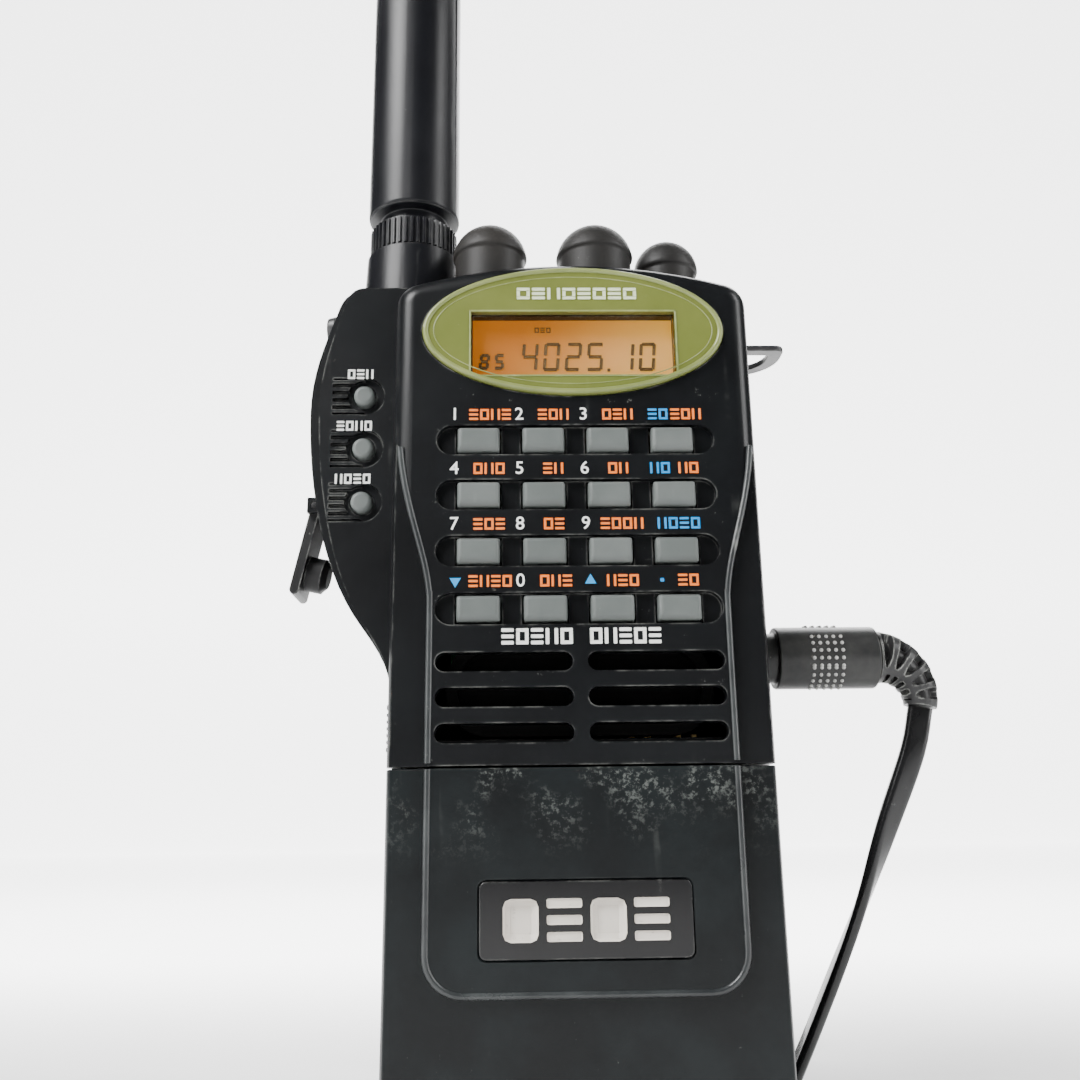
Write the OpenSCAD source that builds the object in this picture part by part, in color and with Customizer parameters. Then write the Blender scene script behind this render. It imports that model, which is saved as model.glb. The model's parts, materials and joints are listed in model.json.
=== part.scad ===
// Handheld wide-band receiver, standing upright on its battery pack.
// +Z points up along the aerial, the keypad faces -Y, and the origin is the
// middle of the battery pack's underside.

/* [Body] */
// Width of the main unit and of the battery pack
body_w = 54.4; // [53:0.2:66]
// Depth from the raised front panel to the back
body_d = 36; // [34:0.5:44]
// Height of the main unit above the battery pack, at the middle of its arched top
unit_h = 77.3; // [76:0.5:94]
// Radius of the arched top
arch_r = 90; // [70:5:140]
// Radius of the two upper corners, seen from the front
corner_r = 4; // [3:0.5:6]
// Radius of the long front and back edges
edge_r = 3; // [2:0.5:4]
// Wall of the casings
wall = 1.8; // [1.5:0.1:2.2]
// Wall behind the keypad and display
front_wall = 2.2; // [2:0.1:3]
// Distance of the parting line of the two casings behind the front panel
parting = 6.4; // [5.8:0.1:8]
// How far the side strips lie behind the raised centre panel
panel_step = 1.3; // [0.8:0.1:1.6]
// Width of the raised centre panel below the keypad
waist_w = 42.6; // [42:0.2:46]
// Height at which the raised panel starts to narrow, measured down from the top
waist_top = 31; // [28:1:36]
// Height over which the raised panel narrows
waist_run = 24; // [18:1:28]

/* [Battery pack] */
// Height of the battery pack
battery_h = 57; // [56.5:0.5:72]
// Gap at the parting line between the battery pack and the main unit
pack_gap = 0.3; // [0.3:0.1:0.8]
// Radius of one cell
cell_r = 7.1; // [6.5:0.1:7.2]
// Length of one cell
cell_len = 49.5; // [40:0.5:50]
// Travel of the battery pack along its rails
pack_travel = 40; // [20:1:50]
// Distance of the raised panel's lower end below the parting line
panel_drop = 29.4; // [28:0.2:36]
// Width of the badge plate
badge_w = 28.4; // [20:0.2:34]
// Height of the badge plate
badge_h = 9.9; // [8:0.1:12]
// Distance of the badge plate's middle below the parting line
badge_drop = 20.1; // [18:0.1:22]

/* [Display] */
// Width of the oval bezel
bezel_w = 46; // [40:0.2:47]
// Height of the oval bezel
bezel_h = 21.2; // [18:0.2:22]
// Distance of the bezel's middle below the top
bezel_drop = 12.3; // [11.6:0.1:13]
// Width of the display window
window_w = 31.2; // [26:0.1:33]
// Height of the display window
window_h = 10.5; // [8:0.1:11.5]
// Distance of the window's middle below the top
window_drop = 14.5; // [13.5:0.1:15]

/* [Keypad] */
// Width of a key
key_w = 6.2; // [5:0.1:7.6]
// Height of a key
key_h = 3.7; // [3:0.1:4]
// Distance between key columns
key_pitch_x = 9.6; // [9.5:0.1:9.8]
// Distance between key rows
key_pitch_z = 8.5; // [8:0.1:8.6]
// Distance of the first key row below the top
keys_drop = 29.9; // [29:0.1:31]
// How far a key travels
key_travel = 0.8; // [0.4:0.1:1]
// Margin of a key row's channel above and below the keys
channel_rim = 0.45; // [0.4:0.05:0.8]
// Length of a key row's channel beyond its end keys
channel_end = 3.1; // [2:0.1:3.6]
// Depth of the channel
channel_depth = 1.1; // [0.6:0.1:1.2]
// Gap all round between a moving piece and the hole it moves in
play = 0.3; // [0.3:0.05:0.4]

/* [Speaker] */
// Length of one speaker slot
slot_w = 19.4; // [14:0.2:19.6]
// Height of one speaker slot
slot_h = 2.7; // [2:0.1:3]
// Distance between slot rows
slot_pitch = 4.95; // [4.6:0.05:5]
// Height of the lowest slot's middle above the parting line
slot_low = 4.4; // [4.2:0.1:4.6]

/* [Shoulder] */
// How far the shoulder's front lies behind the raised front panel
shoulder_step = 5; // [4:0.5:6]
// Widest reach of the shoulder beyond the body's side
shoulder_out = 11.9; // [11.5:0.1:14]
// How much further the rear casing reaches than the front one
shoulder_flare = 1.13; // [1.05:0.01:1.16]
// Radius of a side button
button_r = 1.6; // [1.3:0.1:1.8]
// Distance between side buttons
button_pitch = 8.55; // [8:0.05:9]
// Distance of the first side button below the top
button_drop = 20.8; // [20:0.1:22]
// Distance of the side buttons outside the body's side
button_out = 5; // [4.8:0.1:6]
// How far a side button travels
button_travel = 0.7; // [0.4:0.1:0.9]

/* [Knobs] */
// Radius of the volume knob
volume_r = 6.15; // [5.6:0.05:6.3]
// Radius of the squelch knob
squelch_r = 6.4; // [5.6:0.1:6.6]
// Radius of the tuning knob
tuning_r = 5.4; // [5.3:0.1:5.8]
// Height of the knobs above the top of the body
knob_h = 11; // [10.6:0.2:15]
// Radius of the control shafts
shaft_r = 2.5; // [2:0.1:2.6]

/* [Aerial] */
// Radius of the aerial's rubber sleeve
sleeve_r = 7.8; // [6.5:0.05:8]
// Length of the aerial's rubber sleeve
sleeve_len = 150; // [80:5:220]
// Outer radius of the bayonet coupling at its knurl
coupling_r = 7.4; // [7.2:0.05:7.8]
// Outer radius of the aerial socket
socket_r = 4.8; // [4.4:0.1:5]

/* [Sockets and strap] */
// Inner radius of the earphone socket
phone_r = 1.8; // [1.3:0.05:2]
// Depth of the earphone socket
phone_depth = 14; // [12:0.5:15]
// Height of the supply socket above the parting line
supply_z = 17; // [14:0.5:18]
// Distance of the supply socket behind the front panel
supply_back = 17; // [16.5:0.5:18]
// Gap between the belt clip's tongue and the back
belt_gap = 6.5; // [5:0.5:9]
// Width of the belt clip
clip_w = 16; // [12:0.5:20]
// Sheet thickness of the belt clip and strap lug
sheet = 1; // [0.8:0.1:1.2]

/* [Supply cord] */
// Radius of the plug's grip
grip_r = 4.85; // [4.5:0.05:5.2]
// Broad width of the flat cord
cord_w = 3.8; // [3.6:0.1:4]
// Radius of the far plug
far_r = 10.5; // [10:0.5:11]

/* [Hidden] */

$fn = 48;
hair = 0.01;
half_w = body_w / 2;
front_y = -body_d / 2;
back_y = body_d / 2;
parting_y = front_y + parting;
strip_y = front_y + panel_step;
split_z = battery_h;
top_z = battery_h + unit_h;
inner_y = front_y + front_wall;

// Keypad and display stack, front to back
key_proud = 0.7;
flange_t = 0.8;
flange_y = inner_y + play;
membrane_y = flange_y + flange_t + key_travel + play;
membrane_t = 1;
board_y = membrane_y + membrane_t;
board_t = 1.6;
key_x0 = -1.5 * key_pitch_x;
key_z0 = top_z - keys_drop;
channel_h = key_h + 2 * channel_rim;
channel_w = 3 * key_pitch_x + key_w + 2 * channel_end;
window_z = top_z - window_drop;
bezel_z = top_z - bezel_drop;
bezel_t = 1.3;
bezel_seat = 0.8;
slot_x = (slot_w + 2.1) / 2;

// Shoulder
shoulder_y = front_y + shoulder_step;
shoulder_top = top_z - 2.3;
shoulder_back = back_y - 2;
lobe_x = -half_w + 7;
button_x = -half_w - button_out;
well_depth = 0.8;
stud_drop = 4.8;

// Strap lug: just below where the casing's side starts to curve in
corner_z = top_z - arch_r + sqrt(pow(arch_r - corner_r, 2) - pow(half_w - corner_r, 2));
lug_z = corner_z - 0.41;
lug_reach = 9.85;
lug_depth = 11;

// Controls: place across, place behind the front panel
volume_at = [-12.9, front_y + 10];
squelch_at = [4.4, front_y + 10];
tuning_at = [16.95, front_y + 15];
knob_top = top_z + knob_h;
seat_sink = 0.8;
nut_h = 1.8;
nut_r = 4;
bush_r = 3.4;
pot_size = [10, 9, 6.5];
pot_drop = 12;

// Aerial
aerial_at = [-half_w + 1, front_y + 17];
boss_top = shoulder_top + 0.8;
mouth_z = boss_top + 0.8;
coupling_z = mouth_z + 15;
knurl_h = 5.7;
sleeve_z = coupling_z + 1.8;
socket_bore_r = 4.1;
core_r = 1.8;
socket_foot = shoulder_top - wall - 3.4;
socket_flange_r = socket_r + 1.4;

// Sockets
phone_at = [-4, front_y + 27];
supply_y = front_y + supply_back;
supply_at_z = split_z + supply_z;
plug_bore_r = 2.85;
cover_y = front_y + 17;
cover_x = -half_w - 13.3;
cover_z = top_z - 36.2;
cover_len = 15;
cover_w = 7.6;
cover_lean = 12;
cover_shut = -23;
plug_down = 10;
plug_r = 2.8;
side_jack_r = 3.2;
pin_r = 0.6;

// Battery rails and catch
rail_y = 10;
rail_top = 2.2;
rail_lip = 3;
rail_x0 = -22;
rail_x1 = 20;
plate_t = 3.8;
contact_x = [10, 17];
catch_y = front_y + 17;
catch_w = 10;
catch_z0 = split_z + 2.8;
catch_h = 7;
catch_travel = 2;
spring_x = -half_w + 3.4;
shelf_z = catch_z0 + catch_h + 5;

// Screws: two low, two high, and two through the belt clip
screw_r = 1;
screw_x = half_w - 4.2;
screw_z = [split_z + 24, top_z - 25];
clip_top = top_z - 18;
clip_low = split_z + 14;
clip_foot = clip_top - 26;
clip_screw_z = [clip_foot + 4, clip_foot + 14];

// Cord route: relief's end, down beside the battery pack, then along the ground
cord_lead = [
  [53.9, -1, 66.2], [52.1, -0.8, 59.5], [47.4, 0, 48.5], [42.6, 1.6, 36.5],
  [37.8, 4.4, 25], [33.8, 8.6, 14.5], [31.4, 14, 7], [30, 20, 3.2],
  [29, 27, 2.2], [28.2, 35, 2.4], [27.95, 38.3, 2.5]
];
cord_tail = [
  [-9.7, 75.8, 6.1], [-16, 76.4, 5.6], [-24, 78.6, 5.2], [-29.8, 83, 5.6],
  [-30.6, 88, 7.4], [-27, 92, 9.4], [-20.4, 93.5, 10.5]
];
cord_tube_r = 1.5;
coil_at = [2, 50];
coil_lift = 0.8;
turn_step = 2.2;
coil_r_out = 26.6;
coil_r_in = 13.2;
coil_h = 2 * cord_w + 0.3;
tie_w = 3;
tie_t = 0.8;
relief_bend = 6.6;
relief_x = half_w + 19.9;
grip_x = half_w + 4.2;
far_from = [-20, 93.5, 10.5];
far_len = 68;

// ---------- shapes shared by several sub-parts ----------

function arc(c, r, a0, a1, n = 12) = [for (i = [0:n]) let (a = a0 + (a1 - a0) * i / n)
  [c[0] + r * cos(a), c[1] + r * sin(a)]];

function curve(a, b, c, d, n = 10) = [for (i = [1:n]) let (t = i / n, u = 1 - t)
  u * u * u * a + 3 * u * u * t * b + 3 * u * t * t * c + t * t * t * d];

// Height of the arched top at a place across
function arch_z(x) = top_z - arch_r + sqrt(arch_r * arch_r - x * x);

// Front outline of the main unit, drawn in by i, from height z0 up
function unit_outline(i, z0) =
  let (cz = top_z - arch_r, cx = half_w - corner_r, reach = arch_r - corner_r,
       kz = cz + sqrt(reach * reach - cx * cx), lean = atan2(kz - cz, cx))
  concat([[-half_w + i, z0], [half_w - i, z0]],
    arc([cx, kz], corner_r - i, 0, lean, 6),
    arc([0, cz], arch_r - i, lean, 180 - lean, 24),
    arc([-cx, kz], corner_r - i, 180 - lean, 180, 6));

// A place on the shoulder's outline: reach beyond the body's side, distance below the top
function side(out, drop, grow, thin) =
  [-half_w - out * grow * shoulder_out / 12.3 + thin, top_z - drop];

function shoulder_upper(g, t) = concat(
  [[lobe_x, shoulder_top - t], side(5.6, 2.3 + t, g, t)],
  curve(side(5.6, 2.3 + t, g, t), side(7.6, 2.4 + t, g, t), side(8.4, 3.6 + t, g, t),
    side(9.1, 6.4 + t, g, t), 6),
  curve(side(9.1, 6.4 + t, g, t), side(10.8, 12, g, t), side(12.4, 16.5, g, t),
    side(12.3, 23.3, g, t), 8),
  curve(side(12.3, 23.3, g, t), side(12.1, 35.3, g, t), side(9.8, 47.3, g, t),
    side(5.4, 54.8, g, t), 12));

function shoulder_outline(g) = concat(shoulder_upper(g, 0),
  curve(side(5.4, 54.8, g, 0), side(2.9, 59, g, 0), side(0.2, 61.5, g, 0),
    side(-0.4, 68.5, g, 0), 8),
  [[lobe_x, top_z - 68.5]]);

function shoulder_cavity(g, t) = concat(shoulder_upper(g, t), [[lobe_x, top_z - 54.8]]);

// Right-hand edge of the raised centre panel, from the top of its waist down to z1
function panel_edge(z1) = let (x = waist_w / 2, za = top_z - waist_top, zb = za - waist_run)
  concat([[half_w + 1, za + 3], [half_w - 1.2, za]],
    curve([half_w - 1.2, za], [half_w - 2.2, za - waist_run * 0.45],
      [x, zb + waist_run * 0.3], [x, zb], 12),
    [[x, z1]]);

// Extrudes a front-view outline from one depth to another
module slab(y0, y1) {
  translate([0, y1, 0]) rotate([90, 0, 0]) linear_extrude(y1 - y0) children();
}

// A round-ended bar seen from the front, centred on a point
module stadium(x, z, w, h) {
  translate([x, z]) {
    square([w - h, h], center = true);
    for (s = [-1, 1]) translate([s * (w - h) / 2, 0]) circle(h / 2);
  }
}

// A rectangle with rounded corners, centred on a point
module plate(x, z, w, h, r) {
  translate([x, z]) {
    square([w - 2 * r, h], center = true);
    square([w, h - 2 * r], center = true);
    for (i = [-1, 1], j = [-1, 1]) translate([i * (w / 2 - r), j * (h / 2 - r)]) circle(r);
  }
}

// A block between two opposite corners
module block(x0, x1, y0, y1, z0, z1) {
  translate([x0, y0, z0]) cube([x1 - x0, y1 - y0, z1 - z0]);
}

// A cylinder along Y or X from a point
module rod_y(x, z, r, y0, y1) {
  translate([x, y1, z]) rotate([90, 0, 0]) cylinder(r = r, h = y1 - y0);
}

module rod_x(y, z, r, x0, x1) {
  translate([x0, y, z]) rotate([0, 90, 0]) cylinder(r = r, h = x1 - x0);
}

module tube_z(at, r0, r1, z0, z1) {
  translate([at[0], at[1], z0]) difference() {
    cylinder(r = r0, h = z1 - z0);
    translate([0, 0, -1]) cylinder(r = r1, h = z1 - z0 + 2);
  }
}

// The rounded block that both casings of the main unit are cut from
module unit_block() {
  steps = 5;
  hull() for (k = [0:steps]) {
    a = 90 * k / steps;
    i = edge_r * (1 - sin(a));
    d = edge_r * (1 - cos(a));
    slab(front_y + d, front_y + d + hair) polygon(unit_outline(i, split_z));
    slab(back_y - d - hair, back_y - d) polygon(unit_outline(i, split_z));
  }
}

// The rounded block that the battery pack's two shells are cut from
module pack_block() {
  steps = 5;
  foot_r = 2;
  hull() for (k = [0:steps]) {
    a = 90 * k / steps;
    i = edge_r * (1 - sin(a));
    d = edge_r * (1 - cos(a));
    w = half_w - i;
    outline = concat([[-w, split_z - pack_gap]],
      arc([-w + foot_r, foot_r + i / 3], foot_r, 180, 270, 4),
      arc([w - foot_r, foot_r + i / 3], foot_r, 270, 360, 4),
      [[w, split_z - pack_gap]]);
    slab(front_y + d, front_y + d + hair) polygon(outline);
    slab(back_y - d - hair, back_y - d) polygon(outline);
  }
}

// Cuts the side strips down, leaving the raised centre panel of the main unit
module unit_strips() {
  slab(front_y - 1, strip_y) polygon(concat(panel_edge(split_z - 1), [[half_w + 1, split_z - 1]]));
  mirror([1, 0, 0]) slab(front_y - 1, strip_y)
    polygon(concat(panel_edge(split_z - 1), [[half_w + 1, split_z - 1]]));
}

// Four round posts, or the holes along them
module posts(y0, y1, r) {
  for (s = [-1, 1], z = screw_z) rod_y(s * screw_x, z, r, y0, y1);
}

function key_x(c) = key_x0 + c * key_pitch_x;
function key_z(r) = key_z0 - r * key_pitch_z;
function knob_seat(at) = arch_z(at[0]) - seat_sink;

// ---------- casings ----------

module front_case() {
  color([0.07, 0.075, 0.08]) difference() {
    union() {
      difference() {
        intersection() {
          unit_block();
          block(-60, 60, front_y - 1, parting_y, 0, top_z + 5);
        }
        unit_strips();
        slab(inner_y, parting_y + 1) polygon(unit_outline(wall, split_z - 1));
      }
      difference() {
        slab(shoulder_y, parting_y) polygon(shoulder_outline(1));
        slab(shoulder_y - 1, parting_y + 1)
          polygon([[-half_w + wall - hair, split_z], [lobe_x + 1, split_z],
            [lobe_x + 1, top_z], [-half_w + wall - hair, top_z]]);
        if (shoulder_y + wall < parting_y)
          slab(shoulder_y + wall, parting_y + 1) polygon(shoulder_cavity(1, wall));
        button_wells();
      }
      posts(inner_y - 0.2, parting_y, 2.2);
    }
    posts(inner_y + 0.8, parting_y + 1, screw_r);
    slab(front_y - 1, front_y + bezel_seat) scale_oval(bezel_w / 2 + 0.1, bezel_h / 2 + 0.1);
    slab(front_y - 1, inner_y + 1)
      translate([0, window_z]) square([window_w - 0.4, window_h - 0.4], center = true);
    for (r = [0:3]) {
      slab(front_y - 1, front_y + channel_depth) stadium(0, key_z(r), channel_w, channel_h);
      for (c = [0:3]) slab(front_y - 1, inner_y + 1) translate([key_x(c), key_z(r)])
        square([key_w + 2 * play, key_h + 2 * play], center = true);
    }
    for (k = [0:2], s = [-1, 1]) slab(front_y - 1, inner_y + 1)
      stadium(s * slot_x, split_z + slot_low + k * slot_pitch, slot_w, slot_h);
    rail_notches();
    knob_seats();
  }
}

// The bezel's outline: an ellipse drawn from its two half-axes
module scale_oval(a, b) {
  polygon([for (t = [0:5:355]) [a * cos(t), bezel_z + b * sin(t)]]);
}

// The dished wells round the side buttons, with five grip ribs left standing in each
module button_wells() {
  rib_pitch = 1.2;
  rib_h = 0.55;
  for (k = [0:2]) {
    z = top_z - button_drop - k * button_pitch;
    rod_y(button_x, z, button_r + play, shoulder_y - 1, shoulder_y + wall + 1);
    difference() {
      union() {
        rod_y(button_x, z, 3.1, shoulder_y - 1, shoulder_y + well_depth);
        block(button_x - 4.9, button_x, shoulder_y - 1, shoulder_y + well_depth, z - 3, z + 3);
      }
      difference() {
        for (i = [-2:2]) block(button_x - 6, button_x, shoulder_y - 1, shoulder_y + 2,
          z + i * rib_pitch - rib_h / 2, z + i * rib_pitch + rib_h / 2);
        rod_y(button_x, z, 2.6, shoulder_y - 2, shoulder_y + 3);
      }
    }
  }
}

module rear_case() {
  color([0.06, 0.065, 0.07]) difference() {
    union() {
      difference() {
        union() {
          intersection() {
            unit_block();
            block(-60, 60, parting_y, back_y + 1, 0, top_z + 5);
          }
          slab(parting_y, shoulder_back) polygon(shoulder_outline(shoulder_flare));
          translate([aerial_at[0], aerial_at[1], shoulder_top - 4])
            cylinder(r = coupling_r + 0.7, h = boss_top - shoulder_top + 4);
          thumb_rest();
        }
        slab(parting_y - 1, back_y - wall) polygon(unit_outline(wall, split_z - 1));
        slab(parting_y - 1, shoulder_back - wall) polygon(shoulder_cavity(shoulder_flare, wall));
      }
      cover_ears();
      posts(parting_y, back_y - wall + 0.2, 2.2);
      cover_pocket(plug_r + 0.9 + 1.2, 1.2);
      block(-half_w + wall - 0.1, spring_x + 2, catch_y - 2, catch_y + 2, shelf_z, shelf_z + 1.2);
    }
    posts(parting_y - 1, back_y + 1, screw_r + 0.1);
    for (s = [-1, 1], z = screw_z) rod_y(s * screw_x, z, 2, back_y - 0.9, back_y + 1);
    for (z = clip_screw_z) rod_y(0, z, screw_r, back_y - wall - 1, back_y + 1);
    knob_seats();
    translate([aerial_at[0], aerial_at[1], shoulder_top - 6]) cylinder(r = socket_r + 0.05, h = 12);
    translate([phone_at[0], phone_at[1], top_z - 8]) cylinder(r = 3.05, h = 12);
    rod_x(supply_y, supply_at_z, 4.55, half_w - wall - 1, half_w + 1);
    cover_pocket(plug_r + 0.9, 0);
    rod_x(cover_y, cover_z - plug_down, side_jack_r + 0.1, cover_x + 5.5, cover_x + 12);
    rail_notches();
    block(-half_w - 1, -half_w + wall + 1, catch_y - 2.3, catch_y + 2.3,
      catch_z0 + 1.2, catch_z0 + catch_h + 1);
    block(half_w - wall - 1, half_w + 1, supply_y - 0.1, supply_y + lug_depth + 0.3,
      lug_z - 0.1, lug_z + sheet + 0.1);
    rod_x(front_y + 15, top_z - stud_drop, 1.25, -half_w - 14, -half_w - 5);
  }
}

// Low round pad on the shoulder's side, above the socket cover
module thumb_rest() {
  rod_x(front_y + 17, top_z - 21.5, 3.4, -half_w - 14.7, -half_w - 12.1);
}

// The sunk round seats under the three knobs, and the holes for the controls
module knob_seats() {
  for (k = [[volume_at, volume_r], [squelch_at, squelch_r], [tuning_at, tuning_r]]) {
    translate([k[0][0], k[0][1], knob_seat(k[0])]) cylinder(r = k[1] + 0.4, h = 6);
    translate([k[0][0], k[0][1], top_z - pot_drop]) cylinder(r = bush_r + 0.1, h = pot_drop + 2);
  }
}

// Two ears that carry the socket cover's trunnions
module cover_ears() {
  for (s = [-1, 1]) difference() {
    block(cover_x - 1.1, cover_x + 3, cover_y + s * (cover_w / 2 + play + 0.5) - 0.5,
      cover_y + s * (cover_w / 2 + play + 0.5) + 0.5, cover_z - 1.2, cover_z + 1.2);
    translate([cover_x, cover_y - 8, cover_z]) rotate([-90, 0, 0]) cylinder(r = pin_r + 0.05, h = 16);
  }
}

// The cup that the cover's plug enters, square to the shut cover
module cover_pocket(r, extra) {
  translate([cover_x, cover_y, cover_z]) rotate([0, cover_lean + cover_shut, 0])
    translate([extra > 0 ? 2.6 : -1, 0, -plug_down]) rotate([0, 90, 0])
    cylinder(r = r, h = extra > 0 ? 4.2 : 5.6);
}

module rail_notches() {
  for (s = [-1, 1]) block(-half_w - 1, -half_w + wall + 1,
    s > 0 ? rail_y - 1 - play : -rail_y - rail_lip - play,
    s > 0 ? rail_y + rail_lip + play : -rail_y + 1 + play,
    split_z - 1, split_z + rail_top + play);
}

// ---------- display ----------

module display_bezel() {
  color([0.46, 0.5, 0.24]) difference() {
    slab(front_y + bezel_seat - bezel_t, front_y + bezel_seat) scale_oval(bezel_w / 2, bezel_h / 2);
    slab(front_y - 2, front_y + 2) translate([0, window_z])
      square([window_w, window_h], center = true);
  }
}

module display_window() {
  color([0.9, 0.75, 0.4, 0.4]) slab(front_y - 0.2, front_y + bezel_seat)
    translate([0, window_z]) square([window_w - 0.1, window_h - 0.1], center = true);
}

module lcd_panel() {
  color([0.85, 0.55, 0.15]) slab(inner_y, inner_y + 1.7)
    translate([0, window_z]) square([window_w + 4, window_h + 3], center = true);
}

module backlight_plate() {
  color([1, 0.75, 0.3]) slab(inner_y + 1.7, inner_y + 2.7)
    translate([0, window_z]) square([window_w + 4, window_h + 3], center = true);
}

// ---------- keypad ----------

module key(r, c) {
  rise = 0.25;
  color([0.45, 0.46, 0.47]) translate([key_x(c), 0, key_z(r)]) {
    hull() {
      block(-key_w / 2 + 0.4, key_w / 2 - 0.4, front_y - key_proud, flange_y,
        -key_h / 2 + 0.7, key_h / 2 - 0.4);
      block(-key_w / 2, key_w / 2, front_y - key_proud + rise * 2, flange_y, -key_h / 2, key_h / 2);
    }
    block(-key_w / 2 - 0.8, key_w / 2 + 0.8, flange_y, flange_y + flange_t,
      -key_h / 2 - 0.8, key_h / 2 + 0.8);
  }
}

module keypad_membrane() {
  color([0.55, 0.55, 0.52]) {
    slab(membrane_y, board_y)
      plate(0, (key_z(0) + key_z(3)) / 2, 3 * key_pitch_x + 10.4, 3 * key_pitch_z + 7, 1.5);
  }
}

module main_board() {
  low = key_z(3) - 4;
  high = top_z - 20;
  color([0.1, 0.4, 0.2]) {
    slab(board_y, board_y + board_t) translate([-20, low]) square([40, high - low]);
    for (k = [0:2]) block(-15 + 11 * k, -8 + 11 * k, board_y + board_t, board_y + board_t + 1.4,
      low + 12, low + 22);
  }
}

module rf_board() {
  y = back_y - 13.5;
  color([0.1, 0.35, 0.25]) {
    slab(y, y + board_t) translate([-19.5, split_z + 8]) square([39, unit_h - 27]);
    for (k = [0:3]) block(-14 + 8 * k, -9 + 8 * k, y - 2, y, split_z + 30, split_z + 38);
  }
}

module rf_shield() {
  y = back_y - 13.5 + board_t;
  color([0.75, 0.76, 0.78]) difference() {
    block(-17, 17, y, y + 4, split_z + 26, split_z + unit_h - 20);
    block(-16.5, 16.5, y - 1, y + 3.5, split_z + 26.5, split_z + unit_h - 20.5);
  }
}

// ---------- speaker ----------

module speaker() {
  h = 13.6;
  z = split_z + plate_t + play + h / 2;
  w = 2 * slot_x + slot_w - 3;
  color([0.15, 0.15, 0.16]) {
    difference() {
      slab(inner_y, inner_y + 3) plate(0, z, w, h, 6);
      slab(inner_y - 1, inner_y + 1.6) plate(0, z, w - 3, h - 3, 5);
    }
    rod_y(0, z, 6, inner_y + 3, inner_y + 6.4);
  }
}

// ---------- controls on the top ----------

module pot(at) {
  seat = knob_seat(at);
  under = top_z - pot_drop;
  difference() {
    union() {
      translate([at[0] - pot_size[0] / 2, at[1] - pot_size[1] / 2, under - pot_size[2]]) cube(pot_size);
      translate([at[0], at[1], under - hair]) cylinder(r = bush_r, h = seat + nut_h + 0.6 - under);
    }
    translate([at[0], at[1], under - pot_size[2] + 1]) cylinder(r = shaft_r + 0.06, h = 30);
  }
}

module control_pots() {
  color([0.62, 0.63, 0.65]) {
    pot(volume_at);
    pot(squelch_at);
    pot(tuning_at);
  }
}

module control_nuts() {
  color([0.8, 0.8, 0.82]) for (at = [volume_at, squelch_at, tuning_at])
    translate([at[0], at[1], knob_seat(at)]) difference() {
      cylinder(r = nut_r, h = nut_h, $fn = 6);
      translate([0, 0, -1]) cylinder(r = bush_r + 0.02, h = nut_h + 2);
    }
}

// A domed knob with a step round its cap, and the shaft it is pressed on
module knob(at, r) {
  z0 = knob_seat(at) + 0.4;
  ridge = knob_top - 6;
  lean = asin((ridge + 0.9 - (knob_top - r)) / r);
  skirt = r - 0.45;
  cup = nut_h + 0.6;
  foot = top_z - pot_drop - pot_size[2] + 1.3;
  color([0.17, 0.17, 0.17]) translate([at[0], at[1], 0]) {
    rotate_extrude() polygon(concat(
      [[shaft_r, z0 + cup], [nut_r + 0.3, z0 + cup], [nut_r + 0.3, z0], [skirt, z0],
       [skirt, ridge], [r, ridge + 0.3]],
      arc([0, knob_top - r], r, lean, 90, 12),
      [[0, knob_top - 4], [shaft_r, knob_top - 4]]));
    translate([0, 0, foot]) cylinder(r = shaft_r, h = knob_top - 4 - foot);
  }
}

// ---------- aerial ----------

module antenna_jack() {
  tip = mouth_z + 10;
  color([0.78, 0.76, 0.7]) {
    difference() {
      translate([aerial_at[0], aerial_at[1], socket_foot]) union() {
        cylinder(r = socket_r, h = tip - socket_foot);
        cylinder(r = socket_flange_r, h = 3.4);
      }
      tube_z(aerial_at, socket_bore_r, core_r, mouth_z + 2, tip + 1);
      translate([aerial_at[0], aerial_at[1], mouth_z + 2.5]) cylinder(r = 1, h = 20);
    }
    for (s = [0, 180]) translate([aerial_at[0], aerial_at[1], tip - 2.5]) rotate([0, 90, s])
      translate([0, 0, socket_r - 0.3]) cylinder(r = 0.9, h = 1);
  }
}

// The bayonet coupling: knurled band over a smooth skirt, with its inner sleeve and pin
module antenna_coupling() {
  ribs = 44;
  rib = 360 / ribs;
  root = coupling_r - 0.35;
  band = coupling_z - knurl_h;
  color([0.05, 0.05, 0.055]) translate([aerial_at[0], aerial_at[1], 0]) {
    difference() {
      union() {
        rotate_extrude() polygon([[0, mouth_z],
          [coupling_r + 0.8, mouth_z], [coupling_r + 0.4, band - 0.3],
          [root, band], [root, coupling_z - 0.4], [root - 1.4, coupling_z], [0, coupling_z]]);
        translate([0, 0, band + 0.3]) linear_extrude(knurl_h - 1) polygon([for (k = [0:ribs - 1])
          each [for (p = [[root - 0.02, 0], [coupling_r, 0.3], [coupling_r, 0.7], [root - 0.02, 1]])
            let (a = rib * (k + p[1] * 0.6)) [p[0] * cos(a), p[0] * sin(a)]]]);
      }
      translate([0, 0, mouth_z - 1]) cylinder(r = socket_r + 1.15, h = 12.2);
    }
    difference() {
      translate([0, 0, mouth_z + 2.6]) cylinder(r = socket_bore_r - 0.35, h = coupling_z - mouth_z - 3);
      translate([0, 0, mouth_z + 2]) cylinder(r = core_r + 0.35, h = 9);
    }
    translate([0, 0, mouth_z + 3.2]) cylinder(r = 0.65, h = 9);
  }
}

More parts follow.
